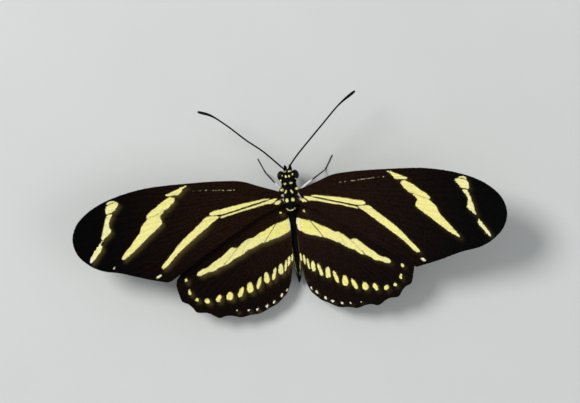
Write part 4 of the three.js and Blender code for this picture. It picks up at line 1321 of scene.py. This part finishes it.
def stretched(start, end, radii, swell=0.0):
    """A copy of the joint from start to end, with a radius at each end and a swell between."""
    start, end = Vector(start), Vector(end)
    piece = FORM.copy()
    piece.data = FORM.data.copy()
    bpy.context.scene.collection.objects.link(piece)
    places = places_of(piece).astype(float)
    along = places[:, 2]
    cap = (1 - np.hypot(places[:, 0], places[:, 1])) * CAP_ROUNDING
    radius = radii[0] + (radii[1] - radii[0]) * along + swell * np.sin(np.pi * along)
    length = (end - start).length
    places[:, :2] *= radius[:, None]
    places[:, 2] = along * length + np.where(along > 0.5, cap * radii[1], -cap * radii[0])
    move_points(piece, places)
    turn = (end - start).to_track_quat("Z", "Y").to_matrix().to_4x4()
    piece.data.transform(Matrix.Translation(start) @ turn)
    return piece


def string_of(route, radii, swell=0.0, first=1.0, last=1.0):
    """Joints along a route; first and last are shares of the radii at each joint's two ends."""
    return [stretched(a, b, (ra * first, rb * last), swell)
            for a, b, ra, rb in zip(route, route[1:], radii, radii[1:])]


def rounded(pieces):
    made = join(pieces)
    modify(made, "SUBSURF", levels=1, render_levels=1)
    bpy.ops.object.shade_smooth()
    return made


# %% [markdown]
# ## Finishes of the limbs
# Legs and feelers are horn, dark and faintly glossy between their fine scales. A plain colour
# would look like plastic, so noise finer than a joint mixes two close browns and dents them.
# On the legs the marks of the mesh say where pale scales grow.

# %% Finishes of the limbs
leg_finish, shade, shader = new_material("leg scales", roughness=0.6, specular=0.12)
marks = shade.node("ShaderNodeAttribute", {"attribute_name": "marks"})
pale_share = marks.node("ShaderNodeSeparateColor", None, {0: marks})
dark_scales = noise(shade, 6000.0).between(srgb(6, 4, 4), srgb(22, 15, 13))
feed(pale_share.between(dark_scales, srgb(246, 242, 246)), shader, "Base Color")
bump(shade, shader, noise(shade, 9000.0), strength=0.4, distance=FINE_DENTS)
FEELER_COLOURS = (srgb(3, 2, 2), srgb(16, 9, 8))
TONGUE_COLOURS = (srgb(26, 18, 14), srgb(66, 44, 28))
feeler_finish = mottled("feeler", 0.5, 0.08, 5000.0, FEELER_COLOURS, dents=10000.0, strength=0.35)
tongue_finish = mottled("tongue", 0.4, 0.5, 3500.0, TONGUE_COLOURS, dents=7000.0, strength=0.4)
for finish in (leg_finish, feeler_finish, tongue_finish):
    print(finish.name, len(finish.node_tree.nodes), "nodes")

# %% [markdown]
# ## Feelers
# Each feeler is a slender shaft of many short joints that widens into a club at its tip. The
# joints are set along the same line as the solid feeler, with the real, much thinner radius.

# %% Feelers
FEELER_ROUTES = {
    "right": [
        (0.44, 5.5, 0.3), (0.52, 5.95, 0.9), (1.0, 6.6, 1.5), (2.4, 8.15, 2.2), (5.0, 10.7, 2.7),
        (8.1, 13.7, 3.0), (12.1, 17.5, 3.1), (15.2, 19.6, 3.0),
    ],
    "left": [
        (-0.5, 5.5, 0.3), (-0.62, 5.8, 0.8), (-1.15, 6.4, 1.5), (-2.4, 7.8, 2.2), (-4.5, 9.9, 2.6),
        (-7.2, 12.1, 2.9), (-10.9, 15.5, 3.0), (-13.9, 17.8, 3.0), (-16.4, 18.8, 2.8),
    ],
}
FEELER_JOINT = 0.48
ROOT_RADIUS = 0.24
SHAFT_RADIUS = 0.165
CLUB_RADIUS = 0.3
CLUB_SHARES = (0.78, 0.96)  # of the length, between which the shaft widens
TIP_SHARES = (0.97, 1.0)
for side, route in FEELER_ROUTES.items():
    line = spline(route, FEELER_JOINT)
    share = np.linspace(0, 1, len(line))
    radii = SHAFT_RADIUS + (CLUB_RADIUS - SHAFT_RADIUS) * ramp(share, *CLUB_SHARES)
    radii = radii * (1 - 0.3 * ramp(share, *TIP_SHARES))
    radii[0] = ROOT_RADIUS
    joints = string_of(line, radii, swell=0.012, first=0.96, last=1.03)
    hand_over(rounded(joints), f"feeler_{side}", feeler_finish, [f"antenna_{side}"])

# %% [markdown]
# ## Legs
# A leg is femur, tibia, five short foot joints, spurs and a pair of claws. It could be a skin
# round a few bones, but strings of joints keep its knees sharp. The feet stand on the floor, so
# their points are given as places on it. The femora carry the pale streak that shows above.

# %% Bones of the walking legs
LEGS = {  # hip and knee in the body's frame, then ankle and toe as places on the floor
    "midleg_right": ((0.8, 0.7, -1.5), (4.8, 3.2, -0.5), (6.9, 5.6), (8.5, 8.3)),
    "midleg_left": ((-0.8, 0.7, -1.5), (-2.9, 3.3, -0.3), (-5.3, 6.2), (-6.6, 9.1)),
    "hindleg_right": ((0.8, -1.4, -1.5), (3.7, -3.4, -1.6), (5.6, -8.0), (6.6, -11.0)),
    "hindleg_left": ((-0.8, -1.4, -1.5), (-3.5, -3.7, -1.6), (-5.1, -8.5), (-5.9, -11.5)),
}
FEMUR_RADII = (0.24, 0.19)
FEMUR_SWELL = 0.03
TIBIA_RADII = (0.16, 0.13)
ANKLE_HEIGHT = 0.3
FOOT_RADIUS = 0.12
FOOT_JOINTS = 5
FOOT_CLEARANCE = 0.01
CLAW_BEND = (0.14, 0.09, 0.02)  # outward, aside and up from the last joint
CLAW_TIP = (0.26, 0.12, -0.1)
CLAW_RADII = (0.06, 0.05, 0.015)
SPUR_REACH = 0.15  # along the foot
SPUR_ASIDE = 0.16
SPUR_RADII = (0.05, 0.012)


def on_floor(spot, height):
    return FLOOR_TO_BODY @ Vector((spot[0], spot[1], height))


def foot(ankle, toe):
    """Foot joints, and a claw and a spur on each side, from the ankle to the toe."""
    ankle_point = on_floor(ankle, ANKLE_HEIGHT)
    along = [Vector(ankle).lerp(Vector(toe), joint / FOOT_JOINTS) for joint in range(1, FOOT_JOINTS + 1)]
    route = [ankle_point] + [on_floor(spot, FOOT_RADIUS + FOOT_CLEARANCE) for spot in along]
    pieces = string_of(route, [FOOT_RADIUS] * len(route), first=0.8)
    outward = Vector((toe[0] - ankle[0], toe[1] - ankle[1], 0)).normalized()
    sideways = Vector((-outward.y, outward.x, 0))
    base = Vector((*toe, FOOT_RADIUS))
    for turn in (1, -1):
        claw = [base] + [base + outward * out + sideways * aside * turn + Vector((0, 0, up))
                         for out, aside, up in (CLAW_BEND, CLAW_TIP)]
        pieces += string_of([FLOOR_TO_BODY @ point for point in claw], CLAW_RADII)
        spur = on_floor(Vector(ankle).lerp(Vector(toe), SPUR_REACH), ANKLE_HEIGHT)
        spur_side = pitched.inverted().to_3x3() @ (sideways * SPUR_ASIDE * turn)
        pieces.append(stretched(ankle_point, spur + spur_side, SPUR_RADII))
    return pieces


print("feet stand at", [legs[3] for legs in LEGS.values()])

# %% Walking legs
STREAK_SHARES = ((0.12, 0.2), (0.96, 1.02))  # of the femur, where the streak fades in and out
STREAK_REACH = 0.3  # from the femur's axis


def streaked(piece, hip, knee):
    """Pale scales along the upper side of a femur."""
    places = places_of(piece).astype(float)
    hip, knee = np.array(hip), np.array(knee)
    axis = knee - hip
    along = (places - hip) @ axis / (axis @ axis)
    away = places - (hip + np.clip(along, 0, 1)[:, None] * axis)
    distance = np.linalg.norm(away, axis=1)
    up = away[:, 2] / np.maximum(distance, 1e-6)
    start, end = STREAK_SHARES
    pale = ramp(up, 0.0, 0.25) * (distance < STREAK_REACH) * ramp(along, *start) * (1 - ramp(along, *end))
    paint(piece.data, np.repeat(pale[:, None], 4, axis=1))


for name, (hip, knee, ankle, toe) in LEGS.items():
    femur = stretched(hip, knee, FEMUR_RADII, FEMUR_SWELL)
    tibia = stretched(knee, on_floor(ankle, ANKLE_HEIGHT), TIBIA_RADII)
    leg = rounded([femur, tibia, *foot(ankle, toe)])
    streaked(leg, hip, knee)
    hand_over(leg, name.replace("leg_", "leg_shape_"), leg_finish, [name])

# %% [markdown]
# ## Front legs, palps and tongue
# In this family the front pair of legs is small and stays folded under the head. Two short
# furry palps stand up before the face, and the tongue rests between them, coiled like a watch
# spring. All are strings of joints; the coil's route is a flat spiral worked out by a loop.

# %% Front legs and palps
FORELEG = [(0.85, 1.7, -1.3), (1.0, 3.0, -2.1), (0.85, 1.9, -2.95), (0.85, 1.3, -3.35)]
FORELEG_RADII = [0.2, 0.19, 0.16, 0.09]
PALP = [(0.45, 5.2, -1.15), (0.52, 6.05, -0.95), (0.48, 6.4, -0.1)]
PALP_RADII = [0.2, 0.22, 0.11]
LIMB_SWELL = 0.02
LIMB_MARK = (0.0, 0.5, 0.1, 0.0)  # dark all over
PALP_TUFTS_PER_MM2 = 160
PALP_LIE = (0.0, 0.45, 1.0)
PALP_SIZES = np.array([[0.28], [0.07], [0.07]])  # length, width and lift of a tuft
PALP_PALE = (0.5, -1.15, 0.9)  # farther out than this, lower than this, this pale
PALP_SEED = 90
PALP_UNROLL = ((4.5, -1.5), 2.4)  # corner and side of the texture square in mm


def palp_coat(palp, name, seed):
    chance = np.random.default_rng(seed)
    roots, normals = spread_roots(triangles_of(palp), PALP_TUFTS_PER_MM2, chance)
    lies = np.tile(PALP_LIE, (len(roots), 1)) + chance.normal(0, 0.2, (len(roots), 3))
    vary = chance.uniform(0.8, 1.2, len(roots))
    outer, lower, pale = PALP_PALE
    marks = np.tile((0.0, 0.5, 0.15, 0.0), (len(roots), 1))
    marks[:, 0] = (np.abs(roots[:, 0]) > outer) * (roots[:, 2] < lower) * pale
    marks[:, 1] = vary * 0.5
    corner, square = PALP_UNROLL
    uv = 0.05 + 0.9 * (roots[:, 1:] - corner) / square
    coat_over(name, roots, normals, lies, PALP_SIZES * vary, uv, marks)


def small_limb(name, mirror, route, radii, finish):
    limb = rounded(string_of([(x * mirror, y, z) for x, y, z in route], radii, LIMB_SWELL))
    paint(limb.data, np.tile(LIMB_MARK, (len(limb.data.vertices), 1)))
    if name.startswith("palp"):
        palp_coat(limb, f"{name}_coat", PALP_SEED + mirror)
    hand_over(limb, f"{name}_shape", finish, [name])


for side, mirror in (("left", -1), ("right", 1)):
    small_limb(f"foreleg_{side}", mirror, FORELEG, FORELEG_RADII, leg_finish)
    small_limb(f"palp_{side}", mirror, PALP, PALP_RADII, body_coat)

# %% Coiled tongue
TONGUE_ROOT = (0.0, 5.25, -0.7)
COIL_CENTRE = (4.9, -2.55)
COIL_OUTER, COIL_INNER, COIL_TURNS = 1.15, 0.45, 1.5
COIL_START = math.pi * 0.35
COIL_STEPS = 16
TONGUE_JOINT = 0.2
TONGUE_RADII = (0.17, 0.1)
route = [TONGUE_ROOT]
for along in np.linspace(0, 1, COIL_STEPS + 1):
    angle = COIL_START - along * 2 * math.pi * COIL_TURNS
    reach = COIL_OUTER + (COIL_INNER - COIL_OUTER) * along
    forward, up = COIL_CENTRE
    route.append((0.0, forward + reach * math.cos(angle), up + reach * math.sin(angle)))
line = spline(route, TONGUE_JOINT)
joints = string_of(line, np.linspace(*TONGUE_RADII, len(line)), last=0.9)
hand_over(rounded(joints), "tongue_coil", tongue_finish, ["proboscis"])

# %% The joint itself isn't part of the butterfly
deselect()
FORM.select_set(True)
bpy.ops.object.delete()
